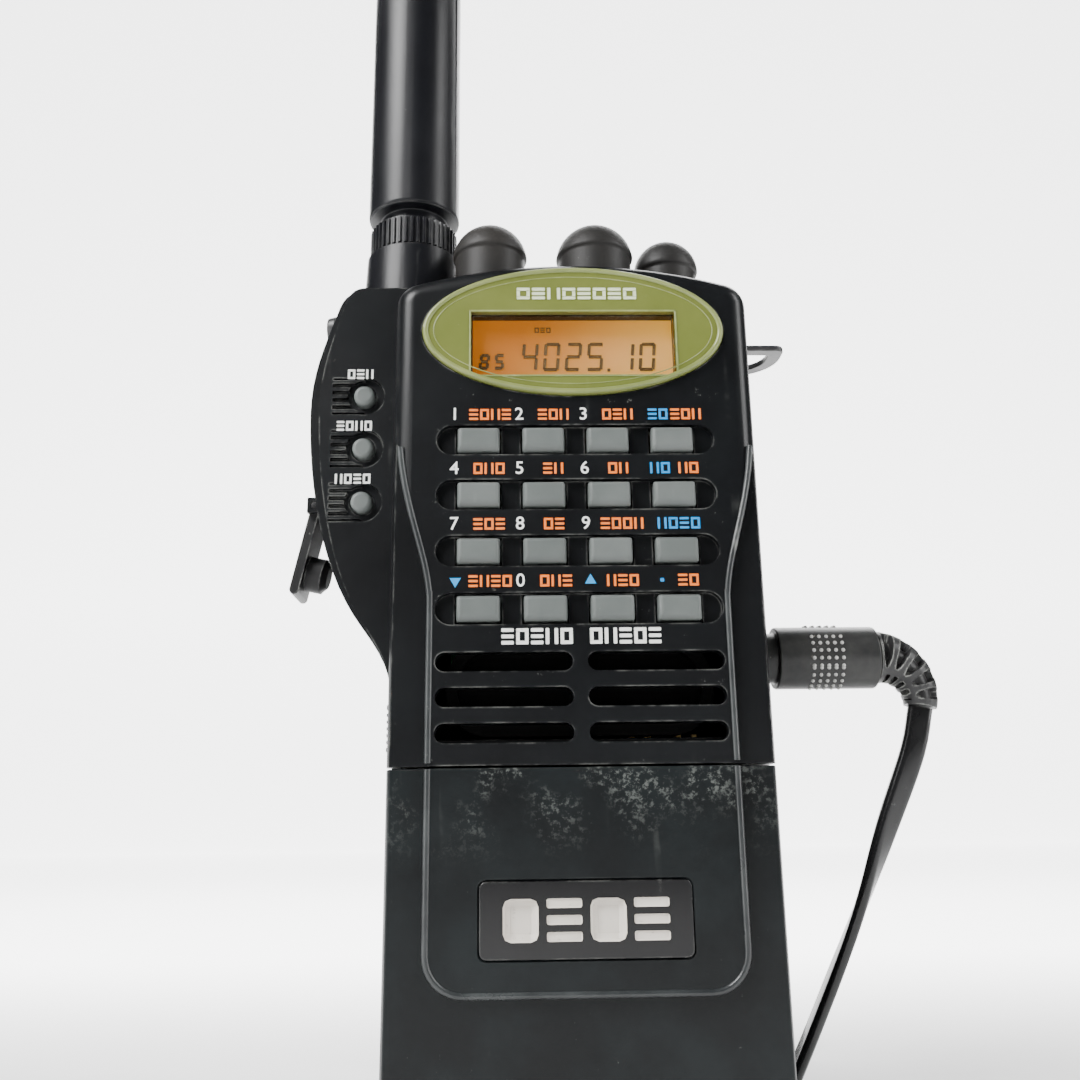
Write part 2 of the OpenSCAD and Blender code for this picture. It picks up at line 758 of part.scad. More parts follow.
module antenna_sleeve() {
  top = sleeve_z + sleeve_len;
  color([0.04, 0.04, 0.045]) translate([aerial_at[0], aerial_at[1], 0]) rotate_extrude() polygon(concat(
    [[0, coupling_z], [sleeve_r - 2.2, coupling_z], [sleeve_r - 2.2, sleeve_z],
     [sleeve_r - 0.4, sleeve_z], [sleeve_r, sleeve_z + 0.4], [sleeve_r, sleeve_z + 40]],
    arc([0, top - sleeve_r + 0.8], sleeve_r - 0.8, 0, 90, 12)));
}

// ---------- sockets ----------

module audio_jacks() {
  z = arch_z(phone_at[0]);
  color([0.3, 0.3, 0.32]) {
    difference() {
      union() {
        translate([phone_at[0], phone_at[1], z - phone_depth - 2]) cylinder(r = 3, h = phone_depth + 2.4);
        translate([phone_at[0] - 3.6, phone_at[1] - 3.6, z - phone_depth - 2])
          cube([7.2, 7.2, phone_depth - 1]);
      }
      translate([phone_at[0], phone_at[1], z + 0.4 - phone_depth]) cylinder(r = phone_r, h = phone_depth + 1);
    }
    difference() {
      rod_x(cover_y, cover_z - plug_down, side_jack_r, cover_x + 7.4, cover_x + 20);
      rod_x(cover_y, cover_z - plug_down, phone_r, cover_x + 6, cover_x + 18);
    }
  }
}

module dc_jack() {
  color([0.12, 0.12, 0.12]) difference() {
    union() {
      block(half_w - 15, half_w - wall - 0.05, supply_y - 5, supply_y + 5.2,
        supply_at_z - 4.6, supply_at_z + 4.6);
      rod_x(supply_y, supply_at_z, 4.5, half_w - wall - 0.1, half_w + 0.5);
    }
    rod_x(supply_y, supply_at_z, plug_bore_r, half_w - 12, half_w + 1);
  }
}

// Cover for the side socket: a plate on two trunnions, with a round plug inside
module jack_cover() {
  color([0.08, 0.08, 0.085]) translate([cover_x, cover_y, cover_z]) rotate([0, cover_lean, 0]) {
    block(-0.75, 0.75, -cover_w / 2, cover_w / 2, -cover_len + 1.5, 0);
    translate([0, cover_w / 2, 0]) rotate([90, 0, 0]) cylinder(r = 0.8, h = cover_w);
    translate([0, cover_w / 2, -cover_len + 1.5]) rotate([90, 0, 0]) cylinder(r = 0.75, h = cover_w);
    translate([0, cover_w / 2 + 1.2, 0]) rotate([90, 0, 0]) cylinder(r = pin_r, h = cover_w + 2.4);
    translate([0.7, 0, -plug_down]) rotate([0, 90, 0]) cylinder(r = plug_r, h = 2.6);
    translate([3.2, 0, -plug_down]) rotate([0, 90, 0]) cylinder(r1 = plug_r, r2 = plug_r - 1, h = 0.9);
  }
}

// ---------- battery rails, catch and contacts on the main unit ----------

module base_plate() {
  color([0.1, 0.1, 0.11]) difference() {
    block(-half_w + wall + 0.05, half_w - wall - 0.05, front_y + wall + 1.1, back_y - wall - 0.05,
      split_z, split_z + plate_t);
    for (s = [-1, 1]) {
      block(-60, rail_x1 + play, min(s * (rail_y - 1 - play), s * (rail_y + 1 + play)),
        max(s * (rail_y - 1 - play), s * (rail_y + 1 + play)), split_z - 1, split_z + rail_top + play);
      block(-60, rail_x1 + play, min(s * (rail_y - 1 - play), s * (rail_y + rail_lip + play)),
        max(s * (rail_y - 1 - play), s * (rail_y + rail_lip + play)),
        split_z + 1 - play, split_z + rail_top + play);
    }
    block(-60, -half_w + 5.4, catch_y - 3.6, catch_y + 3.6, split_z - 1, split_z + plate_t + 1);
    for (s = [0, 1]) block(contact_x[s] - 1.6, contact_x[s] + 1.6, -1.6, 1.6,
      split_z - 1, split_z + plate_t + 1);
  }
}

module supply_contacts() {
  color([0.85, 0.7, 0.3]) for (s = [0, 1]) difference() {
    block(contact_x[s] - 1.6, contact_x[s] + 1.6, -1.6, 1.6, split_z, split_z + plate_t + 1.5);
    block(contact_x[s] - 0.8, contact_x[s] + 0.8, -2, 2, split_z + 0.8, split_z + plate_t + 2);
  }
}

// The ribbed slide that frees the battery pack
module battery_catch() {
  color([0.09, 0.09, 0.095]) {
    difference() {
      block(-half_w - 1.2, -half_w - play, catch_y - catch_w / 2, catch_y + catch_w / 2,
        catch_z0, catch_z0 + catch_h);
      for (k = [0:5]) block(-half_w - 2, -half_w - 0.9, catch_y - catch_w, catch_y + catch_w,
        catch_z0 + 0.7 + k, catch_z0 + 1.2 + k);
    }
    block(-half_w - 0.7, -half_w - play, catch_y - 2, catch_y + 2, catch_z0 - 2.2, catch_z0);
    block(-half_w - play - hair, -half_w + 3.6, catch_y - 2, catch_y + 2,
      catch_z0 + 1.6, catch_z0 + catch_h - 1.8);
    block(-half_w + wall + play, -half_w + 3.6, catch_y - 3, catch_y + 3,
      catch_z0 + 1.6, catch_z0 + catch_h - 1.8);
  }
}

// Coil spring above the catch, drawn as the sleeve that its turns fill
module catch_spring() {
  color([0.7, 0.7, 0.72])
    tube_z([spring_x, catch_y], 1.2, 0.7, catch_z0 + catch_h - 1.8 + hair, shelf_z);
}

// ---------- fasteners, belt clip and strap fittings ----------

module screws() {
  color([0.35, 0.35, 0.37]) {
    for (s = [-1, 1], z = screw_z) screw(s * screw_x, z, back_y - 0.9, inner_y + 1.2);
    for (z = clip_screw_z) screw(0, z, back_y + 0.1, back_y - wall - 1);
  }
}

// A countersunk or sunk-head screw along Y with a cross recess in its head
module screw(x, z, y_head, y_end) {
  difference() {
    union() {
      rod_y(x, z, screw_r, y_end, y_head);
      rod_y(x, z, 1.85, y_head, y_head + 0.8);
    }
    for (a = [0, 90]) translate([x, y_head + 0.3, z]) rotate([0, a, 0])
      block(-1.1, 1.1, 0, 2, -0.2, 0.2);
  }
}

// Profile of the clip: foot on the back, bend at the top, tongue with a turned-in end
module belt_clip() {
  bend = belt_gap / 2 + sheet;
  y1 = back_y + sheet;
  y2 = y1 + belt_gap;
  c = [back_y + bend, clip_top];
  profile = concat(
    [[back_y, clip_foot]], arc(c, bend, 180, 0, 16),
    [[y2 + sheet, clip_low + 5], [y2 - 2, clip_low + 1.6], [y2 - 0.6, clip_low],
     [y2 - 1.2, clip_low - 0.7], [y2 - 2.6, clip_low + 1.4], [y2, clip_low + 5.6]],
    arc(c, bend - sheet, 0, 180, 16), [[y1, clip_foot]]);
  color([0.1, 0.1, 0.105]) difference() {
    translate([-clip_w / 2, 0, 0]) rotate([90, 0, 90]) linear_extrude(clip_w) polygon(profile);
    for (z = clip_screw_z) {
      rod_y(0, z, screw_r + 0.05, back_y - 1, back_y + 0.2);
      rod_y(0, z, 1.9, back_y + 0.1, back_y + sheet + 0.2);
    }
  }
}

// Stamped lug for a hand strap, with its tab bent down inside the rear casing
module strap_lug() {
  x0 = half_w - wall - sheet - 0.05;
  y0 = supply_y;
  z = lug_z;
  reach = lug_reach;
  depth = lug_depth;
  r = 7.5;
  outline = concat([[x0, y0], [half_w + reach - 1.5, y0]],
    arc([half_w + reach - 1.5, y0 + 1.5], 1.5, -90, 0, 4),
    arc([half_w + reach - r, y0 + depth - r], r, 0, 90, 10), [[x0, y0 + depth]]);
  hole = concat([[half_w + 1.8, y0 + 2.2], [half_w + reach - 2.4, y0 + 2.2]],
    arc([half_w + reach - 7.4, y0 + depth - 7.2], 5, 0, 90, 8), [[half_w + 1.8, y0 + depth - 2.2]]);
  color([0.1, 0.1, 0.1]) {
    translate([0, 0, z]) linear_extrude(sheet) difference() {
      polygon(outline);
      polygon(hole);
    }
    block(x0, x0 + sheet, y0, y0 + depth, z - 4, z);
  }
}

module strap_stud() {
  z = top_z - stud_drop;
  y = front_y + 15;
  color([0.14, 0.13, 0.12]) {
    rod_x(y, z, 1.2, -half_w - 11.2, -half_w - 6.4);
    translate([-half_w - 11.2, y, z]) rotate([0, -90, 0]) cylinder(r1 = 2.3, r2 = 1.9, h = 1.6);
  }
}

module side_button(k) {
  z = top_z - button_drop - k * button_pitch;
  back = min(shoulder_y + wall, parting_y) + play;
  color([0.5, 0.51, 0.52]) {
    rod_y(button_x, z, button_r, shoulder_y - 0.2, back);
    translate([button_x, shoulder_y - 0.2, z]) rotate([90, 0, 0])
      cylinder(r1 = button_r, r2 = button_r - 0.45, h = 0.35);
    rod_y(button_x, z, button_r + 0.9, back, back + 0.7);
  }
}

// ---------- battery pack ----------

// Outline of the raised panel on the pack: a deep U with rounded lower corners
function pack_panel() = let (x = waist_w / 2, r = 5, low = split_z - panel_drop)
  concat([[-x, split_z + 1]], arc([-x + r, low + r], r, 180, 270, 8),
    arc([x - r, low + r], r, 270, 360, 8), [[x, split_z + 1]]);

module pack_cavity() {
  block(-half_w + wall, half_w - wall, front_y + front_wall, back_y - wall,
    wall, split_z - pack_gap - wall);
}

module battery_case() {
  seam = back_y - 9;
  color([0.055, 0.065, 0.07]) {
    difference() {
      intersection() {
        pack_block();
        block(-60, 60, front_y - 1, seam, -1, split_z + 1);
      }
      difference() {
        block(-half_w - 1, half_w + 1, front_y - 1, strip_y, -1, split_z + 1);
        slab(front_y - 2, strip_y + 1) polygon(pack_panel());
      }
      pack_cavity();
      slab(front_y - 1, front_y + 0.4)
        plate(0, split_z - badge_drop, badge_w + 0.2, badge_h + 0.2, 1);
      for (s = [0, 1]) block(contact_x[s] - 2, contact_x[s] + 2, -2, 2, split_z - 3, split_z + 1);
    }
    for (s = [-1, 1]) {
      block(rail_x0, rail_x1, s > 0 ? rail_y - 1 : -rail_y - 1, s > 0 ? rail_y + 1 : -rail_y + 1,
        split_z - pack_gap - wall, split_z + rail_top);
      block(rail_x0, rail_x1, s > 0 ? rail_y : -rail_y - rail_lip, s > 0 ? rail_y + rail_lip : -rail_y,
        split_z + 1, split_z + rail_top);
    }
  }
}

module battery_back() {
  seam = back_y - 9;
  color([0.06, 0.065, 0.07]) difference() {
    intersection() {
      pack_block();
      block(-60, 60, seam + 0.02, back_y + 1, -1, split_z + 1);
    }
    pack_cavity();
    for (k = [0:5]) block(-12, 12, back_y - 0.6, back_y + 1, 8 + 2.4 * k, 9.2 + 2.4 * k);
    block(-half_w, half_w, rail_y - 1 - 0.1, rail_y + 1.1, split_z - pack_gap - wall - 0.1, split_z + 1);
  }
}

module battery_cells() {
  gap = 2 * cell_r + 0.3;
  z0 = wall;
  color([0.2, 0.35, 0.6]) for (i = [-1:1], j = [-0.5, 0.5])
    translate([i * gap, j * gap + (front_wall - wall) / 2, z0]) {
      cylinder(r = cell_r, h = cell_len - 1);
      translate([0, 0, cell_len - 1 - hair]) cylinder(r = 2.6, h = 1);
    }
}

module battery_contacts() {
  color([0.85, 0.7, 0.3]) for (s = [0, 1])
    block(contact_x[s] - 2, contact_x[s] + 2, -2, 2,
      split_z - pack_gap - wall - 0.6, split_z - pack_gap);
}

module badge_plate() {
  color([0.03, 0.03, 0.035]) slab(front_y - 0.25, front_y + 0.4)
    plate(0, split_z - badge_drop, badge_w, badge_h, 1);
}

// ---------- supply plug, cord and far plug ----------

module dc_plug() {
  color([0.09, 0.09, 0.09]) {
    difference() {
      union() {
        rod_x(supply_y, supply_at_z, 3.9, half_w + 0.55, grip_x + 0.1);
        rod_x(supply_y, supply_at_z, grip_r, grip_x, relief_x);
      }
      rod_x(supply_y, supply_at_z, 2.7, half_w, half_w + 2.6);
    }
  }
  color([0.8, 0.8, 0.78]) difference() {
    rod_x(supply_y, supply_at_z, 2.7, half_w - 10, half_w + 2.6);
    rod_x(supply_y, supply_at_z, 1.3, half_w - 11, half_w - 1);
  }
}

// Unit vector along a
function unit(a) = a / norm(a);

// Rings of a tube along a line of points, with a radius at each point
function rings(p, r, up, n) = [for (i = [0:len(p) - 1])
  let (t = unit(p[min(i + 1, len(p) - 1)] - p[max(i - 1, 0)]),
       u = unit(cross(t, up)), v = cross(t, u))
  for (k = [0:n - 1]) p[i] + r[i] * (cos(360 * k / n) * u + sin(360 * k / n) * v)];

module tube(p, r, up, n = 8) {
  m = len(p);
  polyhedron(rings(p, r, up, n), concat(
    [[for (k = [0:n - 1]) k]],
    [for (i = [0:m - 2], k = [0:n - 1]) let (a = i * n + k, b = i * n + (k + 1) % n)
      [a, a + n, b + n, b]],
    [[for (k = [n - 1:-1:0]) (m - 1) * n + k]]));
}

module dc_strain_relief() {
  steps = 11;
  turn = 100;
  neck = 0.3;
  path = concat([[relief_x, supply_y, supply_at_z]],
    [for (i = [0:steps]) let (a = 90 - turn * i / steps)
      [relief_x + neck + relief_bend * cos(a), supply_y,
       supply_at_z - relief_bend + relief_bend * sin(a)]]);
  color([0.08, 0.08, 0.08])
    tube(path, [for (i = [0:steps + 1]) 4.2 - 1.7 * i / (steps + 1)], [0, 1, 0], 16);
}

module cord_tube() {
  color([0.05, 0.05, 0.05]) {
    tube(cord_lead, [for (p = cord_lead) cord_tube_r], [1, 0, 0]);
    tube(cord_tail, [for (p = cord_tail) cord_tube_r], [0, 0, 1]);
  }
}

module cord_coil() {
  color([0.06, 0.06, 0.06]) translate([coil_at[0], coil_at[1], coil_lift])
    rotate_extrude() translate([coil_r_in, 0]) square([coil_r_out - coil_r_in, coil_h]);
}

module cord_tie() {
  r0 = coil_r_in - tie_t;
  r1 = coil_r_out + tie_t;
  color([0.12, 0.12, 0.12]) translate([coil_at[0], coil_at[1], 0]) rotate(205) difference() {
    block(r0, r1, -tie_w / 2, tie_w / 2, 0, coil_lift + coil_h + tie_t);
    difference() {
      translate([0, 0, coil_lift]) cylinder(r = coil_r_out, h = coil_h);
      translate([0, 0, coil_lift - 1]) cylinder(r = coil_r_in, h = coil_h + 2);
    }
  }
}

// Vehicle power plug: neck, grip, stepped nose, spring tip and two side springs
module far_plug() {
  neck = 10;
  nose = far_len - 26;
  color([0.07, 0.07, 0.07]) translate(far_from) rotate([0, 90, 0]) {
    rotate_extrude() polygon([[0, 0], [3, 0], [4.2, neck], [far_r - 1.5, neck + 4], [far_r, neck + 8],
      [far_r, nose - 2], [far_r - 0.6, nose], [far_r - 1, nose], [far_r - 1, far_len - 6],
      [5.5, far_len - 4], [5.5, far_len - 3], [0, far_len - 3]]);
  }
  color([0.8, 0.8, 0.78]) translate(far_from) rotate([0, 90, 0]) {
    translate([0, 0, far_len - 3]) cylinder(r = 3, h = 3);
    for (s = [-1, 1]) translate([s * (far_r - 1), 0, nose + 4]) block(-0.2, 1, -2, 2, 0, 11);
  }
}

// ---------- placement ----------

front_case();
rear_case();
display_bezel();
display_window();
lcd_panel();
backlight_plate();
keypad_membrane();
main_board();
rf_board();
rf_shield();
speaker();
control_pots();
control_nuts();
antenna_jack();
dc_jack();
audio_jacks();
base_plate();
supply_contacts();
catch_spring();
screws();
belt_clip();
strap_lug();
strap_stud();
key(0, 0);  // key_1
key(0, 1);  // key_2
key(0, 2);  // key_3
key(0, 3);  // key_enter
key(1, 0);  // key_4
key(1, 1);  // key_5
key(1, 2);  // key_6
key(1, 3);  // key_recall
key(2, 0);  // key_7
key(2, 1);  // key_8
key(2, 2);  // key_9
key(2, 3);  // key_mode
key(3, 0);  // key_down
key(3, 1);  // key_0
key(3, 2);  // key_up
key(3, 3);  // key_dot
side_button(0);  // button_clear
side_button(1);  // button_lamp
side_button(2);  // button_monitor
knob(volume_at, volume_r);  // knob_volume
knob(squelch_at, squelch_r);  // knob_squelch
knob(tuning_at, tuning_r);  // knob_tuning
battery_catch();
jack_cover();
antenna_coupling();
antenna_sleeve();
battery_case();
battery_back();
battery_cells();
battery_contacts();
badge_plate();
dc_plug();
dc_strain_relief();
cord_tube();
cord_coil();
cord_tie();
far_plug();
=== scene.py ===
# %% [markdown]
# # Handheld scanning receiver
# The hard parts come from the CAD model, already in place and in metres. This
# notebook adds what a solid model leaves out: softened edges, printed marks, a
# lit display, a cord that is wound and plugged in, and a surface for every
# material. Cells run from top to bottom.

# %% Load the frame
import json
import math

import bpy
from mathutils import Euler, Matrix, Vector


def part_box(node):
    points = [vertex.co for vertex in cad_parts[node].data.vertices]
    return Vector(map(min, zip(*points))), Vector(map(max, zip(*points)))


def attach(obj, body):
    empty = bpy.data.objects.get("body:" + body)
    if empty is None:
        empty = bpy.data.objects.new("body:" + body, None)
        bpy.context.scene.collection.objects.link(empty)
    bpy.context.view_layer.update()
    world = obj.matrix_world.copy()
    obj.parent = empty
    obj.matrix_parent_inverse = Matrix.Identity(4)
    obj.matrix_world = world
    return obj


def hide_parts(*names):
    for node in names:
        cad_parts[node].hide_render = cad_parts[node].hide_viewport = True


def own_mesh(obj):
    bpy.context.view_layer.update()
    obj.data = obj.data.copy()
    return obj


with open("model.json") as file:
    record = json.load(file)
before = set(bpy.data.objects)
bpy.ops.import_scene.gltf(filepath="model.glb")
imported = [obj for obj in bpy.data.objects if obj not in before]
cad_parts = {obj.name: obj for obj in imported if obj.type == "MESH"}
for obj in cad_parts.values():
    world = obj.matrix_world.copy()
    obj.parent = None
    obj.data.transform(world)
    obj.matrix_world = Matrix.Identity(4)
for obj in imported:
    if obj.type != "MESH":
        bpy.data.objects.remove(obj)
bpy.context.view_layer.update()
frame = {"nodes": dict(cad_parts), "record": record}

MM = 0.001
nodes = frame["nodes"]
bodies = frame["record"]["behaviour"]["bodies"]
body_of = {node: body for body, members in bodies.items() for node in members}
bpy.ops.object.select_all(action="DESELECT")

# %% [markdown]
# ## Camera
# The camera stands close to the keypad, low down, and looks up along the
# aerial. A camera looks along its own -Z, so its three axes are written as the
# columns of a matrix.

# %% Camera
turn = Euler((math.radians(-15.16), math.radians(-1.48), math.radians(-0.35))).to_matrix()
axes = turn @ Matrix(((1, 0, 0), (0, 0, -1), (0, 1, 0)))
bpy.ops.object.camera_add(location=(-9.52 * MM, -168.87 * MM, 48.06 * MM))
camera = bpy.context.object
camera.rotation_euler = Matrix((axes[0], -axes[1], -axes[2])).transposed().to_euler()
camera.data.lens = 36
camera.data.sensor_width = 36
camera.data.clip_start = 0.01
camera.data.dof.use_dof = False
bpy.context.scene.camera = camera

# %% [markdown]
# ## The cord's route
# The cord is a flat twin lead. It leaves the plug's strain relief, falls beside
# the battery pack, and is wound on edge into a flat coil of two layers: inwards
# on the lower one, outwards on the upper one. Then it runs to the far plug.

# %% Cord route
CORD_W = 3.8
CORD_T = 2.1
lead = [(53.9, -1, 66.2), (52.1, -0.8, 59.5), (47.4, 0, 48.5), (42.6, 1.6, 36.5),
        (37.8, 4.4, 25), (33.8, 8.6, 14.5), (31.4, 14, 7), (30, 20, 3.2),
        (29, 27, 2.2), (28.2, 35, 2.4), (27.95, 38.3, 2.5), (27.5, 44, 2.7), (27.4, 50, 2.8)]
tail = [(2, 75.4, 6.6), (-4, 75.5, 6.4), (-9.7, 75.8, 6.1), (-16, 76.4, 5.6), (-24, 78.6, 5.2),
        (-29.8, 83, 5.6), (-30.6, 88, 7.4), (-27, 92, 9.4), (-20, 93.5, 10.5)]
coil_x, coil_y = 2, 50
outer, inner, step = 25.4, 14.4, 2.2
low, high = 2.8, 6.6


def smooth(points, gap):
    """A curve through all the points, with a new point about every gap."""
    p = [Vector(q) for q in points]
    p = [2 * p[0] - p[1]] + p + [2 * p[-1] - p[-2]]
    out = []
    for a, b, c, d in zip(p, p[1:], p[2:], p[3:]):
        n = max(1, round((c - b).length / gap))
        for i in range(n):
            t = i / n
            out.append(0.5 * (2 * b + (c - a) * t + (2 * a - 5 * b + 4 * c - d) * t * t
                              + (3 * b - a - 3 * c + d) * t ** 3))
    return out + [p[-2]]


def coil():
    """Points of the two wound layers, 40 to a turn."""
    turns_in = (outer - inner) / step
    total = 2 * turns_in + 0.25 - (2 * turns_in) % 1
    count = round(40 * total)
    out = []
    for i in range(1, count):
        at = total * i / count
        half = total / 2
        r = outer - (outer - inner) * min(1, at / (half - 0.3)) if at < half else \
            inner + (outer - inner) * max(0, (at - half - 0.3) / (half - 0.3))
        rise = min(1, max(0, (at - half + 0.3) / 0.6))
        z = low + (high - low) * rise * rise * (3 - 2 * rise)
        a = 2 * math.pi * at
        out.append(Vector((coil_x + r * math.cos(a), coil_y + r * math.sin(a), z)))
    return out


first = smooth(lead, 1.6)
route = first + coil() + smooth(tail, 2)
cord_len = sum((b - a).length for a, b in zip(route, route[1:]))


# %% [markdown]
# ## Sweeping a section along a path
# Each ring of the mesh is the section drawn square to the path. `broad` says
# which way the section's wide side faces at each point.

# %% Sweep helper
def sweep(name, path, broad, section):
    """A closed mesh: section(i, k) gives (wide, thin) offsets in mm of corner k at point i."""
    sides = len(section(0))
    verts, faces = [], []
    for i, p in enumerate(path):
        t = (path[min(i + 1, len(path) - 1)] - path[max(i - 1, 0)]).normalized()
        b = (broad(i) - t * broad(i).dot(t)).normalized()
        n = t.cross(b)
        verts += [(p + b * u + n * v) * MM for u, v in section(i)]
    for i in range(len(path) - 1):
        for k in range(sides):
            a, b = i * sides + k, i * sides + (k + 1) % sides
            faces.append((a, b, b + sides, a + sides))
    faces.append(tuple(range(sides))[::-1])
    faces.append(tuple(range((len(path) - 1) * sides, len(path) * sides)))
    mesh = bpy.data.meshes.new(name)
    mesh.from_pydata(verts, [], faces)
    obj = bpy.data.objects.new(name, mesh)
    bpy.context.collection.objects.link(obj)
    bpy.context.view_layer.objects.active = obj
    obj.select_set(True)
    bpy.ops.object.mode_set(mode="EDIT")
    bpy.ops.mesh.select_all(action="SELECT")
    bpy.ops.mesh.normals_make_consistent(inside=False)
    bpy.ops.object.mode_set(mode="OBJECT")
    bpy.ops.object.shade_smooth_by_angle(angle=math.radians(50))
    obj.select_set(False)
    return obj


# %% Cord mesh
twin = []
for k in range(16):
    a = 2 * math.pi * k / 16
    c, s = math.cos(a), math.sin(a)
    waist = 0.80 + 0.20 * min(1, abs(c) * 1.9)
    twin.append((CORD_W / 2 * math.copysign(abs(c) ** 0.72, c),
                 CORD_T / 2 * math.copysign(abs(s) ** 0.72, s) * waist))
across, flat_on, upright = Vector((1, 0, -0.36)), Vector((0, 1, 0)), Vector((0, 0, 1))


def cord_broad(i):
    """The lead shows its wide side at the plug, its thin side lower down, and lies on edge."""
    t = min(1, i / (0.42 * len(first)))
    u = min(1, max(0, (i / len(first) - 0.5) / 0.3))
    return across.lerp(flat_on, t * t * (3 - 2 * t)).lerp(upright, u * u * (3 - 2 * u))


cord = sweep("supply_cord", route, cord_broad, lambda i: twin)

# %% [markdown]
# ## Strain relief
# A bent, tapering tube with round ribs. The ribs are joined by webs at the top
# and bottom, and the gaps between them open at the front and back.

# %% Strain relief
BEND, RELIEF_X, AXIS_Z = 6.6, 47.4, 74.0
TURN = 100
STEPS = 110
relief_path = []
for i in range(STEPS + 1):
    a = math.radians(90 - TURN * i / STEPS)
    relief_path.append(Vector((RELIEF_X + BEND * math.cos(a), -1, AXIS_Z - BEND + BEND * math.sin(a))))


def relief_section(i):
    """Slots over the outer side, and shorter ones between them on the inner side."""
    along = i / STEPS
    radius = 4.15 - 1.65 * along
    rib = along * 5.2 - 0.05
    out_at, in_at = rib % 1 - 0.4, (rib + 0.5) % 1 - 0.4
    ring = []
    for k in range(60):
        a = 360 * k / 60
        off = min(a, 360 - a)
        outer_slot = 0 < rib < 5 and (out_at / 0.3) ** 2 + ((off - 62) / 54) ** 4 < 1
        inner_slot = 0.3 < rib < 4.8 and (in_at / 0.26) ** 2 + ((off - 158) / 18) ** 4 < 1
        r = radius * (0.6 if outer_slot or inner_slot else 1)
        ring.append((r * math.cos(math.radians(a)), r * math.sin(math.radians(a))))
    return ring


def relief_broad(i):
    a = math.radians(90 - TURN * i / STEPS)
    return Vector((math.cos(a), 0, math.sin(a)))


relief = sweep("strain_relief", relief_path, relief_broad, relief_section)


# %% [markdown]
# ## Softened copies of the CAD pieces
# Real mouldings have no knife edges. Each visible CAD piece is copied, its
# triangles are merged into flat faces, and a bevel rounds its sharp edges. The
# copy then stands for the CAD piece.

# %% Soften helper
RINGS = {"battery_back", "display_bezel", "cord_tie"}  # a flat face with a hole can't be one face


def soften(node, width, segments=2, angle=32, smooth_angle=38):
    source = nodes[node]
    piece = bpy.data.objects.new(node + "_finish", source.data.copy())
    bpy.context.collection.objects.link(piece)
    bpy.context.view_layer.objects.active = piece
    piece.select_set(True)
    bpy.ops.object.mode_set(mode="EDIT")
    bpy.ops.mesh.select_all(action="SELECT")
    bpy.ops.mesh.remove_doubles(threshold=2e-6)
    if node not in RINGS:
        bpy.ops.mesh.dissolve_limited(angle_limit=math.radians(0.6))
    bpy.ops.mesh.normals_make_consistent(inside=False)
    bpy.ops.object.mode_set(mode="OBJECT")
    if width:
        bevel = piece.modifiers.new("edges", "BEVEL")
        bevel.width = width * MM
        bevel.segments = segments
        bevel.limit_method = "ANGLE"
        bevel.angle_limit = math.radians(angle)
        bevel.miter_outer = "MITER_ARC"
        bpy.ops.object.modifier_apply(modifier="edges")
    bpy.ops.object.shade_smooth_by_angle(angle=math.radians(smooth_angle))
    flats = piece.modifiers.new("flats", "WEIGHTED_NORMAL")
    flats.keep_sharp = True
    bpy.ops.object.modifier_apply(modifier="flats")
    piece.select_set(False)
    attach(piece, body_of[node])
    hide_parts(node)
    return piece


KEYS = [n for n in nodes if n.startswith("key_")]
BUTTONS = [n for n in nodes if n.startswith("button_")]
KNOBS = [n for n in nodes if n.startswith("knob_")]
widths = {"front_case": 0.22, "rear_case": 0.22, "battery_case": 0.4, "battery_back": 0.22,
          "display_bezel": 0.2, "battery_catch": 0.12, "jack_cover": 0.25, "badge_plate": 0.12,
          "antenna_coupling": 0.1, "antenna_sleeve": 0.35, "antenna_jack": 0.12, "dc_plug": 0.3,
          "far_plug": 0.5, "cord_tie": 0.3, "belt_clip": 0.25, "strap_lug": 0.22,
          "strap_stud": 0.3, "screws": 0.08, "control_nuts": 0.15, "base_plate": 0.2}
widths.update({n: 0.4 for n in KEYS})
widths.update({n: 0.22 for n in BUTTONS})
widths.update({n: 0.25 for n in KNOBS})
widths["catch_spring"] = 0
finished = {node: soften(node, width, 3 if node in KEYS else 2) for node, width in widths.items()}
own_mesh(finished["catch_spring"])

# %% [markdown]
# ## Rounded lips of the raised panels
# The keypad's panel narrows to a waist and the battery pack's panel is a U.
# Each has a thin rounded lip that catches the light; the lip is also painted lighter and shinier than
# the case, as a painted highlight.

# %% Panel lips
LIP_R, LIP_Y = 0.5, -17.75
WAIST = 21.3
SPLIT_LINE, WAIST_LOW, WAIST_HIGH = 57, 79.3, 103.3
PACK_LOW, PACK_CORNER = 27.6, 5


def waist_line(side):
    """From the panel's full width down one side of its waist to the pack."""
    points = [Vector((side * WAIST, LIP_Y, SPLIT_LINE + 0.4))]
    for i in range(13):
        t = i / 12
        u = 1 - t
        x = u ** 3 * WAIST + 3 * u * u * t * WAIST + 3 * u * t * t * 25.0 + t ** 3 * 26.0
        z = u ** 3 * WAIST_LOW + 3 * u * u * t * 86.5 + 3 * u * t * t * 92.5 + t ** 3 * WAIST_HIGH
        points.append(Vector((side * x, LIP_Y, z)))
    return smooth(points, 1)


def pack_line():
    """Down the left side of the pack's panel, across below the badge, and up again."""
    r = PACK_CORNER
    corner = [(-WAIST + r - r * math.cos(a), PACK_LOW + r - r * math.sin(a))
              for a in (math.radians(10 * k) for k in range(10))]
    left = [(-WAIST, SPLIT_LINE - 0.4), (-WAIST, 44)] + corner
    right = [(-x, z) for x, z in reversed(left)]
    return [Vector((x, LIP_Y, z)) for x, z in left + right]


